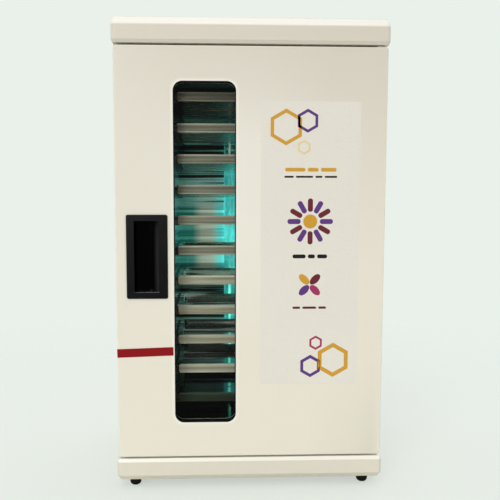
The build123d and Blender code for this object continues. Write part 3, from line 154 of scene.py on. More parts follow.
def math_node(tree, operation, first, second, clamp=False):
    """A Math node whose inputs are sockets or plain numbers."""
    node = tree.nodes.new("ShaderNodeMath")
    node.operation = operation
    node.use_clamp = clamp
    for index, value in enumerate((first, second)):
        if isinstance(value, (int, float)):
            node.inputs[index].default_value = value
        else:
            tree.links.new(value, node.inputs[index])
    return node.outputs[0]


def mix_colours(tree, factor, first, second, blend="MIX"):
    """A colour Mix node whose inputs are sockets or colours, and whose factor is a socket or a number."""
    node = tree.nodes.new("ShaderNodeMix")
    node.data_type = "RGBA"
    node.blend_type = blend
    for socket, value in ((node.inputs[0], factor), (node.inputs[6], first), (node.inputs[7], second)):
        if isinstance(value, (int, float)):
            socket.default_value = value
        elif isinstance(value, bpy.types.NodeSocket):
            tree.links.new(value, socket)
        else:
            socket.default_value = (*value[:3], 1)
    return node.outputs[2]


def map_range(tree, value, low, high, to_low=0.0, to_high=1.0):
    node = tree.nodes.new("ShaderNodeMapRange")
    for name, setting in (("From Min", low), ("From Max", high), ("To Min", to_low), ("To Max", to_high)):
        node.inputs[name].default_value = setting
    tree.links.new(value, node.inputs["Value"])
    return node.outputs["Result"]


def plain_shader(tree, kind, colour):
    """A background, emission or transparent shader of one colour."""
    node = tree.nodes.new(kind)
    node.inputs["Color"].default_value = (*colour, 1)
    return node.outputs[0]


def mix_shaders(tree, factor, first, second):
    node = tree.nodes.new("ShaderNodeMixShader")
    for index, source in enumerate((factor, first, second)):
        tree.links.new(source, node.inputs[index])
    return node.outputs[0]


def noise_level(tree, vector, detail, scale=None):
    """Noise from 0 to 1 at a scale given as a socket, or at 1 without it."""
    noise = tree.nodes.new("ShaderNodeTexNoise")
    noise.inputs["Scale"].default_value = 1.0
    noise.inputs["Detail"].default_value = detail
    tree.links.new(vector, noise.inputs["Vector"])
    if scale is not None:
        tree.links.new(scale, noise.inputs["Scale"])
    return noise.outputs["Fac"]


# ---------- Shader node groups ----------

GREY = (0.8, 0.8, 0.8, 1)
DARK_GREY = (0.3, 0.3, 0.3, 1)
OUTPUT_KINDS = {"Color": "NodeSocketColor", "Normal": "NodeSocketVector",
                "Mask": "NodeSocketFloat", "Roughness": "NodeSocketFloat"}


def new_group(name, inputs, *outputs):
    """A group with inputs given as {name: default} and outputs by name, and its sockets inside."""
    tree = bpy.data.node_groups.new(name, "ShaderNodeTree")
    for socket_name, default in inputs.items():
        if isinstance(default, float):
            kind = "NodeSocketFloat"
        else:
            kind = "NodeSocketVector" if len(default) == 3 else "NodeSocketColor"
        socket = tree.interface.new_socket(name=socket_name, in_out="INPUT", socket_type=kind)
        socket.default_value = default
    for socket_name in outputs:
        tree.interface.new_socket(name=socket_name, in_out="OUTPUT", socket_type=OUTPUT_KINDS[socket_name])
    given = tree.nodes.new("NodeGroupInput").outputs
    return tree, given, tree.nodes.new("NodeGroupOutput").inputs


def bump_normal(tree, given, height):
    """A normal from a height, with the group's own strength and depth."""
    bump = tree.nodes.new("ShaderNodeBump")
    tree.links.new(given["Strength"], bump.inputs["Strength"])
    tree.links.new(given["Depth"], bump.inputs["Distance"])
    tree.links.new(height, bump.inputs["Height"])
    return bump.outputs["Normal"]


def make_tone_group():
    """Broad, soft change of a colour over a surface."""
    tree, given, result = new_group("broad_tone", {"Color": GREY, "Amount": 0.05, "Scale": 6.0}, "Color")
    noise = noise_level(tree, object_coordinates(tree), detail=3.0, scale=given["Scale"])
    shade = math_node(tree, "MULTIPLY", noise, given["Amount"])
    darker = mix_colours(tree, 1.0, given["Color"], (0.35, 0.33, 0.30), "MULTIPLY")
    tree.links.new(mix_colours(tree, shade, given["Color"], darker), result["Color"])
    return tree


def make_relief_group():
    """Fine unevenness of a surface, as a normal."""
    tree, given, result = new_group(
        "fine_relief", {"Scale": 900.0, "Strength": 0.1, "Depth": 0.0002}, "Normal")
    noise = noise_level(tree, object_coordinates(tree), detail=2.0, scale=given["Scale"])
    tree.links.new(bump_normal(tree, given, noise), result["Normal"])
    return tree


def make_smudge_group():
    """Uneven gloss, as left by wiping and handling."""
    tree, given, result = new_group(
        "uneven_gloss", {"Roughness": 0.4, "Amount": 0.1, "Scale": 14.0}, "Roughness")
    noise = noise_level(tree, object_coordinates(tree), detail=4.0, scale=given["Scale"])
    centred = math_node(tree, "SUBTRACT", noise, 0.5)
    change = math_node(tree, "MULTIPLY", centred, given["Amount"])
    tree.links.new(math_node(tree, "ADD", given["Roughness"], change, clamp=True), result["Roughness"])
    return tree


def make_brushed_group():
    """Fine rolling lines of sheet metal, along one direction."""
    tree, given, result = new_group(
        "rolling_lines", {"Stretch": (3.0, 3.0, 900.0), "Strength": 0.1, "Depth": 0.0001}, "Mask", "Normal")
    mapping = tree.nodes.new("ShaderNodeMapping")
    tree.links.new(object_coordinates(tree), mapping.inputs["Vector"])
    tree.links.new(given["Stretch"], mapping.inputs["Scale"])
    noise = noise_level(tree, mapping.outputs["Vector"], detail=4.0)
    tree.links.new(noise, result["Mask"])
    tree.links.new(bump_normal(tree, given, noise), result["Normal"])
    return tree


def make_speck_group():
    """Small scattered specks in a second colour."""
    tree, given, result = new_group(
        "specks", {"Color": GREY, "Speck Color": DARK_GREY, "Amount": 0.3, "Scale": 300.0, "Size": 0.12},
        "Color")
    cells = tree.nodes.new("ShaderNodeTexVoronoi")
    tree.links.new(object_coordinates(tree), cells.inputs["Vector"])
    tree.links.new(given["Scale"], cells.inputs["Scale"])
    near = math_node(tree, "LESS_THAN", cells.outputs["Distance"], given["Size"])
    factor = math_node(tree, "MULTIPLY", near, given["Amount"])
    tree.links.new(mix_colours(tree, factor, given["Color"], given["Speck Color"]), result["Color"])
    return tree


def make_edge_group():
    """A mask along a rounded rectangle's outline, on the surfaces in front of a depth."""
    tree, given, result = new_group(
        "outline_edge", {"Centre X": 0.0, "Centre Z": 0.0, "Half Width": 0.1, "Half Height": 0.1,
                         "Corner": 0.01, "Reach": 0.002, "Depth": 0.0}, "Mask")
    place = separate(tree, object_coordinates(tree))
    corner = given["Corner"]

    def past_corner(axis, centre, half):
        from_centre = math_node(tree, "SUBTRACT", place[axis], given[centre])
        straight = math_node(tree, "SUBTRACT", given[half], corner)
        return math_node(tree, "SUBTRACT", math_node(tree, "ABSOLUTE", from_centre, 0.0), straight)

    across = past_corner("X", "Centre X", "Half Width")
    upward = past_corner("Z", "Centre Z", "Half Height")
    squares = [math_node(tree, "POWER", math_node(tree, "MAXIMUM", side, 0.0), 2.0)
               for side in (across, upward)]
    outside = math_node(tree, "SQRT", math_node(tree, "ADD", *squares), 0.0)
    inside = math_node(tree, "MINIMUM", math_node(tree, "MAXIMUM", across, upward), 0.0)
    distance = math_node(tree, "SUBTRACT", math_node(tree, "ADD", outside, inside), corner)
    share = math_node(tree, "DIVIDE", math_node(tree, "ABSOLUTE", distance, 0.0), given["Reach"])
    near = math_node(tree, "SUBTRACT", 1.0, share, clamp=True)
    in_front = math_node(tree, "LESS_THAN", place["Y"], given["Depth"])
    tree.links.new(math_node(tree, "MULTIPLY", near, in_front), result["Mask"])
    return tree


GROUP_MAKERS = {
    "outline_edge": make_edge_group,
    "broad_tone": make_tone_group,
    "fine_relief": make_relief_group,
    "uneven_gloss": make_smudge_group,
    "rolling_lines": make_brushed_group,
    "specks": make_speck_group,
}


# ---------- Colours and levels by place ----------

def shaded(colour, level):
    """A colour at a share of its brightness."""
    return tuple(level * channel for channel in colour)


def blended(first, second, share):
    """A colour between two others, a share of the way to the second."""
    return tuple(start + share * (end - start) for start, end in zip(first, second))


def between(low, high, *stops):
    """Stops between two places, given as (share of the way, value)."""
    return [(low + share * (high - low), value) for share, value in stops]


def past(place, *stops):
    """Stops given as (millimetres past a place, value)."""
    return [(place + distance * MM, value) for distance, value in stops]


# ---------- Materials ----------

class Finish:
    """A material under construction."""

    def __init__(self, name):
        self.material = bpy.data.materials.new(name)
        self.material.use_nodes = True
        self.tree = self.material.node_tree
        self.shader = self.tree.nodes["Principled BSDF"]

    def set(self, **values):
        for name, value in values.items():
            self.shader.inputs[name.replace("_", " ")].default_value = value

    def feed(self, socket_name, source):
        self.tree.links.new(source, self.shader.inputs[socket_name])

    def put_out(self, shader):
        self.tree.links.new(shader, self.tree.nodes["Material Output"].inputs["Surface"])

    def math(self, operation, first, second, clamp=False):
        return math_node(self.tree, operation, first, second, clamp)

    def mix(self, factor, first, second, blend="MIX"):
        return mix_colours(self.tree, factor, first, second, blend)

    def times(self, first, second):
        """Two colours multiplied."""
        return self.mix(1.0, first, second, "MULTIPLY")

    def group(self, name, **values):
        """Places a shared node group with its own values, and gives its outputs."""
        node = self.tree.nodes.new("ShaderNodeGroup")
        node.node_tree = bpy.data.node_groups.get(name) or GROUP_MAKERS[name]()
        for key, value in values.items():
            socket = node.inputs[key.replace("_", " ")]
            if isinstance(value, bpy.types.NodeSocket):
                self.tree.links.new(value, socket)
            elif socket.type == "RGBA":
                socket.default_value = (*value[:3], 1)
            else:
                socket.default_value = value
        return node.outputs

    def tone(self, colour, amount, scale):
        """The colour with a broad, soft change."""
        return self.group("broad_tone", Color=colour, Amount=amount, Scale=scale)["Color"]

    def gloss(self, roughness, amount, scale):
        """Makes the roughness a little uneven."""
        uneven = self.group("uneven_gloss", Roughness=roughness, Amount=amount, Scale=scale)["Roughness"]
        self.feed("Roughness", uneven)
        return uneven

    def relief(self, scale, strength, depth):
        """Makes the surface finely uneven."""
        self.feed("Normal", self.group("fine_relief", Scale=scale, Strength=strength, Depth=depth)["Normal"])

    def ramp(self, axis, stops, every=None, start=0.0):
        """A colour or a level that changes along one axis, given as (place in metres, value) stops.

        With every, the places count from start and come again at each such distance."""
        place = separate(self.tree, object_coordinates(self.tree))[axis]
        if every:
            place = self.math("FLOORED_MODULO", self.math("SUBTRACT", place, start), every)
        low, high = stops[0][0], stops[-1][0]
        ramp = self.tree.nodes.new("ShaderNodeValToRGB")
        elements = ramp.color_ramp.elements
        elements[0].position = 0.0
        elements[1].position = 1.0
        for stop, _ in stops[1:-1]:
            elements.new((stop - low) / (high - low))
        for element, (_, value) in zip(elements, stops):
            element.color = (*value, 1) if isinstance(value, tuple) else (value, value, value, 1)
        self.tree.links.new(map_range(self.tree, place, low, high), ramp.inputs["Fac"])
        return ramp.outputs["Color"]


def painted(name, colour, roughness=0.34, upward=(), light_and_shade_patches=(), edges=(), highlight_colour=WHITE):
    """Semi-gloss powder coat with a faint orange-peel surface.

    upward gives the colour's levels up the piece, which carry painted highlight and painted shade; edges gives
    the outlines along which a painted highlight lies, in the highlight colour; and each of the patches is a
    broad soft patch of painted light in its own colour, lighter for a highlight and darker for shade: its
    levels across, its levels up and its colour."""
    finish = Finish(name)
    tone = finish.tone(colour, amount=0.05, scale=5.0)
    coat = finish.group("specks", Color=tone, Speck_Color=(0.30, 0.27, 0.22), Amount=0.22, Scale=230.0,
                        Size=0.05)["Color"]
    # Levels up the piece: painted highlight and painted shade.
    if upward:
        coat = finish.times(coat, finish.ramp("Z", upward))
    # Broad soft patches of painted highlight and painted shade.
    for across, up, lit_or_shaded_colour in light_and_shade_patches:
        share = finish.math("MULTIPLY", finish.ramp("X", across), finish.ramp("Z", up))
        coat = finish.mix(share, coat, lit_or_shaded_colour)
    # Painted highlights along outlines.
    for outline in edges:
        coat = finish.mix(finish.group("outline_edge", **outline)["Mask"], coat, highlight_colour)
    finish.feed("Base Color", coat)
    finish.gloss(roughness, amount=0.10, scale=11.0)
    finish.relief(scale=620.0, strength=0.10, depth=0.0002)
    finish.set(Specular_IOR_Level=0.45, Coat_Weight=0.12, Coat_Roughness=0.12)
    return finish.material


def moulded(name, colour, roughness=0.45, grain=0.25, scale=1500.0, specular=0.5):
    """Moulded plastic or rubber with a fine grain."""
    finish = Finish(name)
    finish.feed("Base Color", finish.tone(colour, amount=0.25, scale=40.0))
    finish.gloss(roughness, amount=0.12, scale=60.0)
    finish.relief(scale=scale, strength=grain, depth=0.0001)
    finish.set(Specular_IOR_Level=specular)
    return finish.material


def pull_plastic(name, colour, low, high, lip_highlight):
    """Satin black plastic between two corners, painted black deeper in the pocket as painted shade, with a
    grey painted highlight on the right of its scoop and a painted highlight line along its lower lip.
    """
    finish = Finish(name)
    border_right, border_end = 11.5 * MM, 8 * MM
    # Painted highlight on the scoop's right wall: the lip's highlight colour at 12 %.
    scoop_highlight = shaded(lip_highlight, 0.12)
    inside = finish.ramp("Y", [*past(low.y, (0, 0.0), (2, 0.0), (4, 1.0)), (high.y, 1.0)])
    # Across the pocket: black as painted shade, then the painted highlight on the scoop's right wall.
    scoop = finish.ramp("X", [(low.x, BLACK), *past(high.x - border_right, (-7, BLACK), (-1, scoop_highlight)),
                              (high.x, scoop_highlight)])
    # A thin painted highlight line along the lower lip, just inside the pocket.
    up_lip = past(low.z + border_end, (-0.6, 0.0), (-0.3, 1.0), (0.3, 1.0), (0.8, 0.0))
    into_lip = past(low.y, (0, 0.0), (0.4, 0.0), (0.8, 1.0), (7, 1.0), (10, 0.0))
    on_lip = finish.times(finish.ramp("Z", [(low.z, 0.0), *up_lip, (high.z, 0.0)]),
                          finish.ramp("Y", [*into_lip, (high.y, 0.0)]))
    # Painted shade: deeper in the pocket the colour turns black, with the scoop's painted highlight at its
    # right.
    pocket = finish.mix(inside, finish.tone(colour, amount=0.25, scale=40.0), scoop)
    finish.feed("Base Color", finish.mix(on_lip, pocket, lip_highlight))
    uneven = finish.gloss(roughness=0.33, amount=0.12, scale=60.0)
    glossier = finish.math("MULTIPLY", inside, -0.22)
    finish.feed("Roughness", finish.math("ADD", uneven, glossier, clamp=True))
    finish.relief(scale=1100.0, strength=0.18, depth=0.0001)
    finish.set(Specular_IOR_Level=0.32)
    return finish.material


def sheet_metal(name, colour, roughness=0.22, stretch=(3.0, 3.0, 700.0), lines=0.10):
    """Rolled steel or aluminium sheet with fine parallel lines."""
    finish = Finish(name)
    brushed = finish.group("rolling_lines", Stretch=stretch, Strength=lines)
    bright = finish.tone(colour, amount=0.30, scale=18.0)
    finish.feed("Base Color", finish.mix(brushed["Mask"], bright, shaded(colour, 0.72)))
    finish.feed("Normal", brushed["Normal"])
    finish.gloss(roughness, amount=0.14, scale=20.0)
    finish.set(Metallic=1.0)
    return finish.material


def polished_steel(name, colour, dark, roughness=0.12, stretch=(4.0, 4.0, 420.0), lines=0.12,
                   contrast=(0.40, 0.62), metallic=1.0):
    """Bright rolled steel with streaks along one direction, as a finish, its colour and its streaks."""
    finish = Finish(name)
    brushed = finish.group("rolling_lines", Stretch=stretch, Strength=lines)
    streaks = map_range(finish.tree, brushed["Mask"], *contrast)
    steel = finish.mix(streaks, dark, colour)
    finish.feed("Base Color", steel)
    finish.feed("Normal", brushed["Normal"])
    finish.gloss(roughness, amount=0.08, scale=20.0)
    finish.set(Metallic=metallic)
    return finish, steel, streaks


def tray_metal(name, colour, dark, pan_colour, lip_back, stack, rolled, pitch, low):
    """Bright steel trays: a brushed front lip with rolled edges, and a polished pan behind it.

    stack gives levels up the stack of trays: painted shade that darkens the lips of the upper trays and of the
    lowest, how plainly the painted highlights and shade of their rolled edges show, painted shade on the
    lowest pans and how rough the pans are, and how much lamplight glints on the pans' scuffs.
    rolled gives the levels up each lip, a pitch apart from low: painted highlights along its rolled top and
    bottom edges and painted shade between them."""
    finish, lip, _ = polished_steel(name, colour, dark, stretch=(6.0, 40.0, 300.0))
    depth = separate(finish.tree, object_coordinates(finish.tree))["Y"]

    def behind_lip(at_lip, in_pan):
        return map_range(finish.tree, depth, lip_back, lip_back + 1 * MM, at_lip, in_pan)

    levels = {part: finish.ramp("Z", stops) for part, stops in stack.items()}
    # Painted shade on the lips up the stack, then the painted highlights and shade along each lip's rolled
    # edges.
    lip = finish.times(lip, levels["lip"])
    lip = finish.mix(levels["rolled_edge_highlights"], lip, finish.times(lip, finish.ramp("Z", rolled, pitch, low)))
    lines = finish.group("rolling_lines", Stretch=(4.0, 48.0, 48.0))["Mask"]
    scuffs = map_range(finish.tree, lines, low=0.55, high=0.61)
    pan = behind_lip(at_lip=0.0, in_pan=1.0)
    dull = finish.math("MULTIPLY", scuffs, pan)
    # Painted shade on the lowest pans, through the pan levels.
    sheet = finish.times(finish.mix(scuffs, pan_colour, colour), levels["pan"])
    finish.feed("Base Color", finish.mix(pan, lip, sheet))
    less_metallic = finish.math("MULTIPLY", dull, 0.85)
    metallic = behind_lip(at_lip=0.30, in_pan=1.0)
    finish.feed("Metallic", finish.math("SUBTRACT", metallic, less_metallic))
    finish.feed("Emission Color", finish.times(levels["glints"], dull))
    finish.set(Emission_Strength=1.0)
    roughness = finish.math("ADD", behind_lip(at_lip=0.28, in_pan=0.0),
                            finish.math("MULTIPLY", pan, levels["roughness"]))
    finish.feed("Roughness", finish.math("ADD", roughness, finish.math("MULTIPLY", dull, 0.25)))
    return finish.material


def lamplit_steel(name, colour, dark, strength, hazes, **finish_settings):
    """Polished steel that shows the lamp's light as hazes.

    Each haze is its colours along X, its levels along Z and how much the steel's streaks cut it."""
    finish, _, streaks = polished_steel(name, colour, dark, **finish_settings)
    light = BLACK
    for across, along, streaked in hazes:
        haze = finish.times(finish.ramp("X", across), finish.ramp("Z", along))
        light = finish.mix(1.0, light, finish.mix(streaked, haze, streaks, "MULTIPLY"), "ADD")
    finish.feed("Emission Color", light)
    finish.set(Emission_Strength=strength)
    return finish.material


def window_glass(name, colour):
    """Clear toughened glass; daylight passes it as well as the eye does."""
    finish = Finish(name)
    finish.set(Base_Color=(*colour, 1), Transmission_Weight=1.0, IOR=1.45)
    finish.gloss(roughness=0.012, amount=0.02, scale=9.0)
    path = finish.tree.nodes.new("ShaderNodeLightPath").outputs
    indirect = finish.math("MAXIMUM", path["Is Shadow Ray"], path["Is Diffuse Ray"])
    clear = plain_shader(finish.tree, "ShaderNodeBsdfTransparent", colour)
    finish.put_out(mix_shaders(finish.tree, indirect, finish.shader.outputs[0], clear))
    return finish.material


def lamp_tube(name, glow, strength, along):
    """A lit tube, brightest along its middle and dim towards both ends."""
    finish = Finish(name)
    finish.set(Base_Color=(0.80, 0.92, 0.92, 1), Roughness=0.08, Emission_Strength=strength)
    finish.feed("Emission Color", finish.times(finish.ramp("Z", along), glow))
    return finish.material


def glowing_lens(name, colour, strength, low, high):
    """A translucent lens lit from inside, which glows at its outer face on the cabinet's left."""
    finish = Finish(name)
    shade = finish.tone(colour, amount=0.3, scale=200.0)
    finish.feed("Base Color", shade)
    lit = finish.ramp("X", [*past(low.x, (0, 1.0), (3, 0.8), (5, 0.0)), (high.x, 0.0)])
    finish.feed("Emission Color", finish.times(shade, lit))
    finish.relief(scale=700.0, strength=0.15, depth=0.0002)
    finish.set(Emission_Strength=strength, Roughness=0.22, Coat_Weight=0.4)
    return finish.material


def printed_film(name, colour, roughness=0.42, specks=0.35):
    """Vinyl sheet with a faint printed speckle."""
    finish = Finish(name)
    tone = finish.tone(colour, amount=0.06, scale=9.0)
    dots = finish.group("specks", Color=tone, Speck_Color=(0.45, 0.36, 0.30), Amount=specks, Scale=420.0,
                        Size=0.16)
    finish.feed("Base Color", dots["Color"])
    finish.gloss(roughness, amount=0.08, scale=30.0)
    finish.relief(scale=260.0, strength=0.05, depth=0.0002)
    finish.set(Specular_IOR_Level=0.3)
    return finish.material


def dress(material, *nodes):
    """Puts a material on every slot of CAD nodes."""
    for name in nodes:
        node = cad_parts[name]
        node.data.materials.clear()
        node.data.materials.append(material)


def outline_of(node, corner, reach, inset=0.0):
    """A node's front outline, as the settings of the outline_edge group."""
    low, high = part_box(node)
    return {"Centre_X": (low.x + high.x) / 2, "Centre_Z": (low.z + high.z) / 2,
            "Half_Width": (high.x - low.x) / 2 - inset, "Half_Height": (high.z - low.z) / 2 - inset,
            "Corner": corner, "Reach": reach}


# ---------- Mesh helpers ----------

FACE_THE_FRONT = Matrix.Rotation(math.radians(90), 4, "X")


def add_piece(name, mesh_maker, material, body):
    """Makes an object at the origin from a bmesh, with its material and body."""
    shape = bmesh.new()
    mesh_maker(shape)
    bmesh.ops.recalc_face_normals(shape, faces=shape.faces)
    mesh = bpy.data.meshes.new(name)
    shape.to_mesh(mesh)
    shape.free()
    mesh.materials.append(material)
    piece = bpy.data.objects.new(name, mesh)
    bpy.context.scene.collection.objects.link(piece)
    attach(piece, body)


def extrude_flat(shape, faces, depth):
    """Gives flat faces in the XY plane a thickness along +Z."""
    grown = bmesh.ops.extrude_face_region(shape, geom=faces)
    verts = [item for item in grown["geom"] if isinstance(item, bmesh.types.BMVert)]
    bmesh.ops.translate(shape, verts=verts, vec=(0, 0, depth))


def new_verts(shape, before):
    return [vert for vert in shape.verts if vert not in before]


def outline_cell(shape, place, radius, width, depth, sides):
    """A flat outline with straight sides, such as a six-sided cell."""
    outer = bmesh.ops.create_circle(shape, segments=sides, radius=radius)["verts"]
    inner = bmesh.ops.create_circle(shape, segments=sides, radius=radius - width)["verts"]
    edges = {edge for vert in outer + inner for edge in vert.link_edges}
    faces = bmesh.ops.bridge_loops(shape, edges=list(edges))["faces"]
    before = set(shape.verts) - set(outer) - set(inner)
    extrude_flat(shape, faces, depth)
    bmesh.ops.transform(shape, verts=new_verts(shape, before), matrix=place)


def disc(shape, place, radius, depth, sides=40, squeeze=1.0):
    """A flat disc, or an oval if squeezed along its own Y."""
    before = set(shape.verts)
    made = bmesh.ops.create_circle(shape, cap_ends=True, segments=sides, radius=radius)["verts"]
    faces = list({face for vert in made for face in vert.link_faces})
    extrude_flat(shape, faces, depth)
    squeezed = place @ Matrix.Diagonal((1, squeeze, 1, 1))
    bmesh.ops.transform(shape, verts=new_verts(shape, before), matrix=squeezed)


def bar(shape, place, length, width, depth, rounding=0.45):
    """A flat bar with rounded corners."""
    before = set(shape.verts)
    bmesh.ops.create_grid(shape, x_segments=1, y_segments=1, size=0.5)
    fresh = new_verts(shape, before)
    bmesh.ops.scale(shape, verts=fresh, vec=(length, width, 1))
    bmesh.ops.bevel(shape, geom=fresh, offset=rounding * min(length, width), segments=5,
                    profile=0.5, affect="VERTICES", material=-1)
    fresh = new_verts(shape, before)
    faces = list({face for vert in fresh for face in vert.link_faces})
    extrude_flat(shape, faces, depth)
    bmesh.ops.transform(shape, verts=new_verts(shape, before), matrix=place)


# ---------- Operators: finishes on the solid parts ----------

TRAYS = sorted(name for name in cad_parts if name.startswith("tray_") and name[5:].isdigit())


class CABINET_OT_paint_case(bpy.types.Operator):
    """Paint the caps, decks, panels and carcass front, with painted highlight and painted shade on the caps,
    and finish the feet and plated parts
    """
    bl_idname = "cabinet.paint_case"
    bl_label = "Paint the case"

    def execute(self, context):
        look = context.scene.cabinet_finishes
        dress(painted("ivory_paint", look.paint), "side_panel_left", "side_panel_right", "rear_panel",
              "front_frame", "top_deck", "base_deck")
        paint, edge = tuple(look.paint), tuple(look.edge)
        # Painted shade on the top cap's front face and top (the paint at 93 % and 92 %), and painted highlight
        # in the edge colour on its sloped bevel.
        side, rim = shaded(paint, 0.93), shaded(paint, 0.92)
        top_cap_light_and_shade = past(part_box("top_cap")[1].z, (-32, side), (-11, side), (-9, edge), (-0.8, edge),
                          (-0.3, rim), (0, rim))
        dress(painted("top_cap_paint", WHITE, roughness=0.50, upward=top_cap_light_and_shade), "top_cap")
        # Painted highlight in the edge colour on the base cap's top chamfer.
        base_cap_highlight = past(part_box("base_cap")[1].z, (-20, paint), (-5, paint), (-4, edge), (0, edge))
        dress(painted("base_cap_paint", WHITE, upward=base_cap_highlight), "base_cap")
        dress(moulded("foot_rubber", look.rubber, roughness=0.7, grain=0.4), "feet")
        zinc = sheet_metal("zinc_plate", look.zinc, roughness=0.38, stretch=(60.0, 60.0, 60.0), lines=0.2)
        dress(zinc, "hinge_plates", "hinge_pins", "panel_screws")
        return {"FINISHED"}


class CABINET_OT_finish_door(bpy.types.Operator):
    """Finish the door's sheets, pull, seal, window surround and hinge bushes"""
    bl_idname = "cabinet.finish_door"
    bl_label = "Finish the door"

    def execute(self, context):
        look = context.scene.cabinet_finishes
        low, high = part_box("door_skin")
        # Painted highlights in the edge colour along the door's outer edges and round the window's opening.
        door = outline_of("door_skin", corner=2 * MM, reach=1.6 * MM)
        opening = outline_of("window_glass", corner=11.5 * MM, reach=4.5 * MM, inset=6 * MM)
        for outline in (door, opening):
            outline["Depth"] = low.y + 1.2 * MM
        # A broad painted highlight in the edge colour beside the window.
        highlight_beside_window = (between(low.x, high.x, (0.0, 0.15), (0.22, 0.35), (0.45, 0.75), (0.54, 0.75),
                                 (0.80, 0.1), (1.0, 0.1)),
                         between(low.z, high.z, (0.28, 0.0), (0.44, 0.5), (0.58, 0.85), (0.76, 0.85),
                                 (0.92, 0.2), (1.0, 0.1)), tuple(look.edge))
        # Painted shade at the door's lower right corner.
        shade_at_right_foot = (between(low.x, high.x, (0.70, 0.0), (0.90, 0.6)) + past(high.x, (-12, 1.0), (0, 0.2)),
                      past(low.z, (0, 1.0), (6, 1.0)) + between(low.z, high.z, (0.06, 0.75), (0.24, 0.0)),
                      shaded(look.door_paint, 0.86))
        # The door's coat gets darker towards the top as painted shade, and carries the painted highlights and
        # shade set above.
        dress(painted("door_paint", look.door_paint, edges=(door, opening), highlight_colour=look.edge,
                      light_and_shade_patches=(highlight_beside_window, shade_at_right_foot),
                      upward=between(low.z, high.z, (0.0, 1.0), (0.5, 0.975), (1.0, 0.85))), "door_skin")
        dress(painted("liner_paint", look.paint), "door_liner")
        dress(pull_plastic("pull_plastic", look.handle, *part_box("handle_pocket"), tuple(look.lip_highlight)),
              "handle_pocket")
        dress(moulded("gasket_rubber", look.rubber, roughness=0.8, specular=0.15), "window_gasket",
              "window_frame")
        dress(moulded("seal_foam", look.seal, roughness=0.85, grain=0.8, scale=900.0), "door_gasket")
        dress(moulded("bush_nylon", linear(214, 212, 200), roughness=0.4), "hinge_bushes")
        dress(sheet_metal("strike_steel", look.zinc, roughness=0.3), "strike_plate")
        dress(moulded("catch_plastic", linear(96, 66, 44), roughness=0.5), "magnet_catch")
        dress(moulded("plunger_plastic", linear(226, 224, 214), roughness=0.35), "door_plunger")
        dress(moulded("switch_plastic", look.handle, roughness=0.5), "door_switch_body")
        return {"FINISHED"}


class CABINET_OT_glaze_window(bpy.types.Operator):
    """Give the window its glass"""
    bl_idname = "cabinet.glaze_window"
    bl_label = "Glaze the window"

    def execute(self, context):
        dress(window_glass("toughened_glass", context.scene.cabinet_finishes.glass), "window_glass")
        return {"FINISHED"}


def lamp_light(*shares):
    """Levels of the lamp's light as stops along Z, given as (share of the tube's length, level)."""
    low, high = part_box("uv_lamp")
    return between(low.z, high.z, *shares)


def tube_light():
    """The tube's own light: dim at both ends, strongest above its middle."""
    return lamp_light((0.0, 0.004), (0.20, 0.015), (0.36, 0.06), (0.43, 0.30), (0.49, 0.85), (0.64, 1.0),
                      (0.75, 0.85), (0.84, 0.28), (0.90, 0.05), (1.0, 0.01))


def clear_light():
    """The tube's light as the back shows it plainly, round the tube's bright middle."""
    return lamp_light((0.0, 0.0), (0.40, 0.01), (0.46, 0.10), (0.49, 0.75), (0.64, 0.90), (0.69, 0.70),
                      (0.71, 0.25), (0.76, 0.02), (1.0, 0.0))


def banded_light():
    """The tube's light as the back shows it cut into bands by the trays' mirror images."""
    return lamp_light((0.0, 0.0), (0.06, 0.01), (0.12, 0.12), (0.20, 0.32), (0.42, 0.50), (0.46, 0.16),
                      (0.62, 0.10), (0.70, 0.26), (0.74, 0.46), (0.80, 0.48), (0.86, 0.32), (0.90, 0.08),
                      (1.0, 0.03))


def along_folds(left, right, colour):
    """A colour in two narrow lines, as stops along X."""
    line = (-2.6, BLACK), (-1.2, colour), (1.2, colour), (2.6, BLACK)
    return past(left, *line) + past(right, *line)


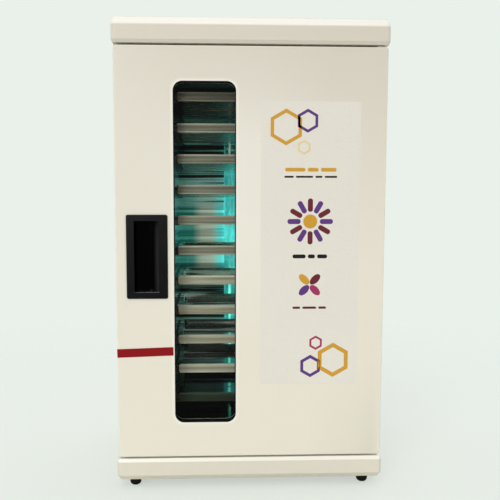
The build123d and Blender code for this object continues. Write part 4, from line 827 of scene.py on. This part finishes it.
class CABINET_OT_line_chamber(bpy.types.Operator):
    """Finish the chamber's lining, the rails and the trays"""
    bl_idname = "cabinet.line_chamber"
    bl_label = "Line the chamber"

    def execute(self, context):
        look = context.scene.cabinet_finishes
        glow, far, room = tuple(look.glow), tuple(look.glow_edge), tuple(look.room)
        low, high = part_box("chamber_back")
        lamp_x = sum(corner.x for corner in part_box("uv_lamp")) / 2
        left_half = [(low.x, shaded(far, 0.8)),
                     *past(lamp_x, (-94, far), (-80, shaded(room, 0.85)), (-64, room),
                           (-50, shaded(glow, 0.70)), (-40, glow), (0, glow))]
        right_half = [(2 * lamp_x - place, colour) for place, colour in reversed(left_half[:-1])]
        near = blended(shaded(glow, 0.35), room, 0.4)
        edge = blended(far, room, 0.12)
        even = [(low.x, edge), *past(lamp_x, (-85, near), (-60, near), (0, glow), (60, near), (85, near)),
                (high.x, edge)]
        steel = look.steel, look.steel_shade
        lining = {"stretch": (3.0, 3.0, 190.0), "lines": 0.05, "contrast": (0.44, 0.56)}
        hazes = [(left_half + right_half, clear_light(), 0.35), (even, banded_light(), 1.0)]
        dress(lamplit_steel("back_steel", *steel, look.haze_strength, hazes, roughness=0.07, **lining),
              "chamber_back")
        dim = shaded(glow, 0.05)
        hazes = [([(low.x - 1 * MM, dim), (high.x + 1 * MM, dim)], tube_light(), 0.8)]
        dress(lamplit_steel("wall_steel", *steel, look.haze_strength, hazes, roughness=0.10, **lining),
              "chamber_wall_left", "chamber_wall_right")
        ends, *_ = polished_steel("end_steel", *steel, roughness=0.10, stretch=(3.0, 130.0, 3.0), lines=0.05)
        dress(ends.material, "chamber_ceiling", "chamber_floor")
        rails, *_ = polished_steel("rail_steel", linear(110, 98, 86), linear(60, 52, 46), roughness=0.40,
                                   stretch=(300.0, 4.0, 300.0), metallic=0.6)
        dress(rails.material, "tray_rails_left", "tray_rails_right")
        low_tray, high_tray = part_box(TRAYS[-1])[0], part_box(TRAYS[0])[1]

        def up_stack(*shares):
            return between(low_tray.z, high_tray.z, *shares)

        # Painted shade up the stack: the lowest tray's lip in a dark unlit green, the upper lips and the
        # lowest pans darker; the rolled edges' painted highlights show more plainly higher up.
        unlit = (0.085, 0.13, 0.11)
        stack = {
            "lip": up_stack((0.0, unlit), (0.05, unlit), (0.08, 1.0), (0.50, 1.0), (0.60, 0.95),
                            (0.70, 0.72), (1.0, 0.66)),
            "rolled_edge_highlights": up_stack((0.0, 0.3), (0.40, 0.4), (0.48, 1.0), (1.0, 1.0)),
            "pan": up_stack((0.0, 0.2), (0.05, 0.2), (0.13, 1.0), (1.0, 1.0)),
            "glints": up_stack((0.0, 0.0), (0.05, 0.0), (0.08, 0.03), (0.14, 0.07), (0.30, 0.10),
                               (0.40, 0.05), (0.46, 0.0), (1.0, 0.0)),
            "roughness": up_stack((0.0, 0.09), (0.52, 0.09), (0.60, 0.24), (1.0, 0.24)),
        }
        # Painted highlights along each lip's rolled top and bottom edges, painted shade between them, in
        # millimetres up the lip.
        rolled = past(0.0, (0, 1.0), (1.3, 1.0), (2.3, 0.36), (5.0, 0.56), (8.0, 0.34), (9.6, 0.50),
                      (10.6, 1.0), (12.0, 1.0))
        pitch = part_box(TRAYS[0])[0].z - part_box(TRAYS[1])[0].z
        lip_back = low_tray.y + 1.8 * MM
        dress(tray_metal("tray_steel", look.tray, look.tray_shade, look.steel, lip_back, stack, rolled,
                         pitch, low_tray.z), *TRAYS)
        return {"FINISHED"}


class CABINET_OT_light_lamp(bpy.types.Operator):
    """Finish the lamp, its holders and its reflector, and light the tube"""
    bl_idname = "cabinet.light_lamp"
    bl_label = "Light the lamp"

    def execute(self, context):
        look = context.scene.cabinet_finishes
        glow = tuple(look.glow)
        dress(lamp_tube("lit_tube", glow, look.glow_strength, tube_light()), "uv_lamp")
        dress(sheet_metal("lamp_cap_metal", linear(200, 200, 198), roughness=0.3), "lamp_end_caps")
        dress(moulded("holder_plastic", linear(226, 224, 214), roughness=0.4), "lamp_holders", "starter")
        low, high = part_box("lamp_reflector")
        left_fold, right_fold = low.x + 9 * MM, high.x - 9 * MM
        dimmer, dim = shaded(glow, 0.75), shaded(glow, 0.6)
        face = [(low.x, dimmer), (left_fold, glow), (right_fold, glow), (high.x, dimmer)]
        on_face = lamp_light((0.0, 0.0), (0.04, 0.02), (0.09, 0.34), (0.36, 0.32), (0.46, 0.28),
                             (0.60, 0.76), (0.68, 0.50), (0.80, 0.34), (0.87, 0.24), (0.90, 0.04),
                             (1.0, 0.01))
        rim = past(low.x, (0, dim), (3, BLACK)) + past(high.x, (-3, BLACK), (0, dim))
        on_rim = lamp_light((0.0, 0.05), (0.34, 0.15), (0.44, 0.40), (0.80, 0.45), (0.92, 0.70),
                            (0.98, 0.50), (1.0, 0.05))
        lit_folds = along_folds(left_fold, right_fold, linear(120, 246, 214))
        on_lower_fold = lamp_light((0.0, 0.6), (0.05, 1.0), (0.42, 1.0), (0.48, 0.0), (1.0, 0.0))
        pale_folds = along_folds(left_fold, right_fold, tuple(look.room))
        on_upper_fold = lamp_light((0.0, 0.0), (0.88, 0.0), (0.92, 0.8), (0.98, 0.8), (1.0, 0.1))
        hazes = [(face, on_face, 0.2), (rim, on_rim, 0.9), (lit_folds, on_lower_fold, 0.8),
                 (pale_folds, on_upper_fold, 0.6)]
        dress(lamplit_steel("reflector_metal", linear(190, 196, 194), linear(84, 92, 90), look.haze_strength,
                            hazes, roughness=0.10, stretch=(160.0, 160.0, 40.0), lines=0.05),
              "lamp_reflector")
        return {"FINISHED"}


class CABINET_OT_finish_electrics(bpy.types.Operator):
    """Finish the controls, the inlet and the parts inside the electrical bay"""
    bl_idname = "cabinet.finish_electrics"
    bl_label = "Finish the electrical parts"

    def execute(self, context):
        look = context.scene.cabinet_finishes
        black = moulded("control_plastic", look.handle, roughness=0.5, grain=0.35)
        dress(black, "control_plate", "switch_housing", "fuse_holder", "mains_inlet")
        dress(glowing_lens("lit_rocker", linear(190, 30, 22), 0.35, *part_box("power_rocker")), "power_rocker")
        dress(glowing_lens("pilot_lens", linear(225, 70, 30), 0.9, *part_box("pilot_lamp")), "pilot_lamp")
        dress(painted("ballast_enamel", linear(150, 152, 150)), "ballast")
        dress(moulded("terminal_nylon", linear(214, 208, 186), roughness=0.45), "terminal_block")
        dress(moulded("lead_sheath", linear(40, 40, 42), roughness=0.5),
              "supply_leads", "lamp_leads", "control_leads")
        return {"FINISHED"}


# ---------- Operator: prints on the door ----------

class CABINET_OT_print_label(bpy.types.Operator):
    """Print a plain geometric design on the door's sheet, and finish the small strip"""
    bl_idname = "cabinet.print_label"
    bl_label = "Print the door's sheet"

    def execute(self, context):
        look = context.scene.cabinet_finishes
        design = context.scene.cabinet_print
        dress(printed_film("label_film", look.label), "front_label")
        dress(printed_film("strip_film", look.strip, roughness=0.3, specks=0.0), "notice_strip")
        low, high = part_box("front_label")
        face = low.y
        depth = design.thickness
        cell_sides = 6
        ray_gap, row_gap = 3.5 * MM, 3.0
        petal_radius, petal_reach, petal_squeeze = 8.5 * MM, 10 * MM, 0.55

        def at(x, z):
            return Matrix.Translation((x, face, z)) @ FACE_THE_FRONT

        centre_x = (low.x + high.x) / 2
        large, middle = design.large_cell, design.middle_cell
        upper_left = low.x + design.margin, high.z - design.margin, 1
        lower_right = high.x - design.margin, low.z + design.margin, -1
        cells = [
            ("gold", "large_cell", upper_left, large, large, 5.0),
            ("purple", "middle_cell", upper_left, 2.2 * large, middle, 4.0),
            ("cream", "small_cell", upper_left, 2.0 * large, 2.1 * large, 3.0),
            ("gold", "large_cell", lower_right, large, large, 6.0),
            ("purple", "middle_cell", lower_right, 2.3 * large, middle, 4.5),
            ("magenta", "small_cell", lower_right, 2.0 * large, 2.0 * large, 3.0),
        ]
        inks = {name: printed_film(f"ink_{name}", getattr(design, name), specks=0.0)
                for name in ("gold", "purple", "magenta", "maroon", "black", "cream")}
        for number, (ink, size, (x, z, inward), across, along, width) in enumerate(cells, 1):
            place = at(x + inward * across, z - inward * along)

            def cell(shape, place=place, size=size, width=width):
                outline_cell(shape, place, getattr(design, size), width * MM, depth, cell_sides)
            add_piece(f"print_cell_{number}", cell, inks[ink], "door")
        sun_z = low.z + 0.585 * (high.z - low.z)
        add_piece("print_sun_disc", lambda shape: disc(shape, at(centre_x, sun_z), design.sun_radius, depth),
                  inks["gold"], "door")
        for name, start in (("purple", 0), ("maroon", 1)):
            def rays(shape, start=start):
                for index in range(start, design.ray_count, 2):
                    turn = Matrix.Rotation(2 * math.pi * index / design.ray_count, 4, "Z")
                    reach = design.sun_radius + ray_gap + design.ray_length / 2
                    place = at(centre_x, sun_z) @ turn @ Matrix.Translation((reach, 0, 0))
                    bar(shape, place, design.ray_length, design.ray_width, depth)
            add_piece(f"print_rays_{name}", rays, inks[name], "door")
        rows = [
            ("gold", sun_z + 66 * MM, 4.6, (26, 14, 20)),
            ("black", sun_z + 57 * MM, 2.4, (12, 22, 9, 16)),
            ("black", sun_z - 45 * MM, 5.0, (17, 9, 13)),
            ("maroon", sun_z - 112 * MM, 3.0, (10, 18, 10)),
        ]
        for number, (ink, z, height, lengths) in enumerate(rows, 1):
            def row(shape, z=z, height=height, lengths=lengths):
                x = centre_x - (sum(lengths) + row_gap * (len(lengths) - 1)) / 2 * MM
                for length in lengths:
                    bar(shape, at(x + length / 2 * MM, z), length * MM, height * MM, depth)
                    x += (length + row_gap) * MM
            add_piece(f"print_row_{number}", row, inks[ink], "door")
        petal_z = sun_z - 82 * MM
        for index, ink in enumerate(("maroon", "gold", "purple", "magenta")):
            def petal(shape, index=index):
                turn = Matrix.Rotation(math.radians(45 + 90 * index), 4, "Z")
                place = at(centre_x, petal_z) @ turn @ Matrix.Translation((petal_reach, 0, 0))
                disc(shape, place, petal_radius, depth, squeeze=petal_squeeze)
            add_piece(f"print_petal_{ink}", petal, inks[ink], "door")
        return {"FINISHED"}


# ---------- Operator: stage ----------

CABINET_MIDDLE = (0, 0, 0.32)
CABINET_FOOT = (0, 0, 0.05)

# name: where the lamp stands, what it is aimed at, its side in metres and its power in watts
LAMPS = {
    "key_lamp": ((-1.3, -3.0, 1.5), CABINET_MIDDLE, 1.4, 40),
    "front_lamp": ((-0.5, -1.9, 2.9), CABINET_MIDDLE, 1.4, 14),
    "fill_lamp": ((1.6, -1.5, 0.3), CABINET_FOOT, 1.2, 4),
    "top_lamp": ((0.0, 0.3, 2.5), CABINET_MIDDLE, 1.6, 9),
    "left_lamp": ((-2.7, 0.5, 1.1), CABINET_MIDDLE, 1.6, 10),
    "right_lamp": ((2.7, 0.5, 1.1), CABINET_MIDDLE, 1.6, 7),
    "rear_lamp": ((0.8, 2.4, 1.1), CABINET_MIDDLE, 3.0, 27),
}


def soft_lamp(name, place, aim, size, power):
    """A square area lamp aimed at a point."""
    data = bpy.data.lights.new(name, "AREA")
    data.shape = "SQUARE"
    data.size = size
    data.energy = power
    lamp = bpy.data.objects.new(name, data)
    lamp.location = place
    lamp.rotation_euler = (Vector(aim) - Vector(place)).to_track_quat("-Z", "Y").to_euler()
    bpy.context.scene.collection.objects.link(lamp)


def make_world(background):
    """Pale to the camera and through glass; a soft room with a dim front wall to everything else."""
    world = bpy.data.worlds.new("studio")
    world.use_nodes = True
    tree = world.node_tree
    tree.nodes.clear()
    direction = separate(tree, tree.nodes.new("ShaderNodeTexCoord").outputs["Generated"])
    height = map_range(tree, direction["Z"], low=-0.25, high=0.75)
    room = tree.nodes.new("ShaderNodeBackground")
    room.inputs["Strength"].default_value = 0.57
    tree.links.new(mix_colours(tree, height, (0.55, 0.54, 0.51), (1.0, 1.0, 0.99)), room.inputs["Color"])
    path = tree.nodes.new("ShaderNodeLightPath").outputs
    mirrored = math_node(tree, "GREATER_THAN", path["Glossy Depth"], 0.5)
    facing = math_node(tree, "LESS_THAN", direction["Y"], -0.55)
    low = math_node(tree, "LESS_THAN", direction["Z"], 0.45)
    glossy_front = math_node(tree, "MULTIPLY", math_node(tree, "MULTIPLY", facing, low), mirrored)
    front = plain_shader(tree, "ShaderNodeBackground", (0.055, 0.055, 0.052))
    reflected = mix_shaders(tree, glossy_front, room.outputs[0], front)
    through = math_node(tree, "SUBTRACT", path["Is Transmission Ray"], mirrored, clamp=True)
    direct = math_node(tree, "MAXIMUM", path["Is Camera Ray"], through)
    seen = plain_shader(tree, "ShaderNodeBackground", background)
    output = tree.nodes.new("ShaderNodeOutputWorld")
    tree.links.new(mix_shaders(tree, direct, reflected, seen), output.inputs["Surface"])
    return world


def floor_material(background, radius):
    """A matt floor whose shadow is soft to the camera, and which fades out at its rim."""
    finish = Finish("studio_floor")
    finish.set(Base_Color=(*shaded(background, 0.92), 1), Roughness=0.9, Specular_IOR_Level=0.1)
    path = finish.tree.nodes.new("ShaderNodeLightPath").outputs
    share = finish.math("MULTIPLY", path["Is Camera Ray"], 0.6)
    level = plain_shader(finish.tree, "ShaderNodeEmission", background)
    lifted = mix_shaders(finish.tree, share, finish.shader.outputs[0], level)
    in_mirror = finish.math("GREATER_THAN", path["Glossy Depth"], 0.5)
    dim = plain_shader(finish.tree, "ShaderNodeEmission", (0.050, 0.051, 0.050))
    mirrored = mix_shaders(finish.tree, in_mirror, lifted, dim)
    length = finish.tree.nodes.new("ShaderNodeVectorMath")
    length.operation = "LENGTH"
    finish.tree.links.new(object_coordinates(finish.tree), length.inputs[0])
    fade = map_range(finish.tree, length.outputs["Value"], low=0.12 * radius, high=0.36 * radius)
    clear = plain_shader(finish.tree, "ShaderNodeBsdfTransparent", WHITE)
    finish.put_out(mix_shaders(finish.tree, fade, mirrored, clear))
    return finish.material


class CABINET_OT_set_stage(bpy.types.Operator):
    """Build the floor, background, lamps and camera"""
    bl_idname = "cabinet.set_stage"
    bl_label = "Set the stage"

    def execute(self, context):
        scene = context.scene
        stage = scene.cabinet_stage
        shape = bmesh.new()
        bmesh.ops.create_circle(shape, cap_ends=True, segments=96, radius=stage.floor_radius)
        mesh = bpy.data.meshes.new("floor")
        shape.to_mesh(mesh)
        shape.free()
        mesh.materials.append(floor_material(stage.background, stage.floor_radius))
        floor = bpy.data.objects.new("floor", mesh)
        scene.collection.objects.link(floor)
        scene.world = make_world(stage.background)
        for name, settings in LAMPS.items():
            soft_lamp(name, *settings)
        data = bpy.data.cameras.new("camera")
        data.sensor_width = 36
        data.lens = stage.lens
        data.shift_x = stage.shift_x
        data.shift_y = stage.shift_y
        camera = bpy.data.objects.new("camera", data)
        camera.location = stage.camera_place
        forward = Vector((math.sin(stage.camera_turn) * math.cos(stage.camera_dip),
                          math.cos(stage.camera_turn) * math.cos(stage.camera_dip),
                          -math.sin(stage.camera_dip)))
        camera.rotation_euler = forward.to_track_quat("-Z", "Y").to_euler()
        scene.collection.objects.link(camera)
        scene.camera = camera
        scene.view_settings.view_transform = "Standard"
        return {"FINISHED"}


# ---------- Panel, registration and run ----------

BUILD_STEPS = (
    CABINET_OT_paint_case,
    CABINET_OT_finish_door,
    CABINET_OT_glaze_window,
    CABINET_OT_line_chamber,
    CABINET_OT_light_lamp,
    CABINET_OT_finish_electrics,
    CABINET_OT_print_label,
    CABINET_OT_set_stage,
)


class CABINET_PT_build(bpy.types.Panel):
    """Buttons that build and finish the cabinet"""
    bl_idname = "CABINET_PT_build"
    bl_label = "Cabinet"
    bl_space_type = "VIEW_3D"
    bl_region_type = "UI"
    bl_category = "Cabinet"

    def draw(self, context):
        for step in BUILD_STEPS:
            self.layout.operator(step.bl_idname)


SETTINGS = {
    "cabinet_finishes": CABINET_PG_finishes,
    "cabinet_print": CABINET_PG_print,
    "cabinet_stage": CABINET_PG_stage,
}
CLASSES = (*SETTINGS.values(), *BUILD_STEPS, CABINET_PT_build)


def register():
    for cls in CLASSES:
        bpy.utils.register_class(cls)
    for name, group in SETTINGS.items():
        setattr(bpy.types.Scene, name, PointerProperty(type=group))


def unregister():
    for name in reversed(SETTINGS):
        delattr(bpy.types.Scene, name)
    for cls in reversed(CLASSES):
        bpy.utils.unregister_class(cls)


def main():
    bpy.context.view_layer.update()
    register()
    bpy.ops.cabinet.paint_case()
    bpy.ops.cabinet.finish_door()
    bpy.ops.cabinet.glaze_window()
    bpy.ops.cabinet.line_chamber()
    bpy.ops.cabinet.light_lamp()
    bpy.ops.cabinet.finish_electrics()
    bpy.ops.cabinet.print_label()
    bpy.ops.cabinet.set_stage()


if __name__ == "__main__":
    main()
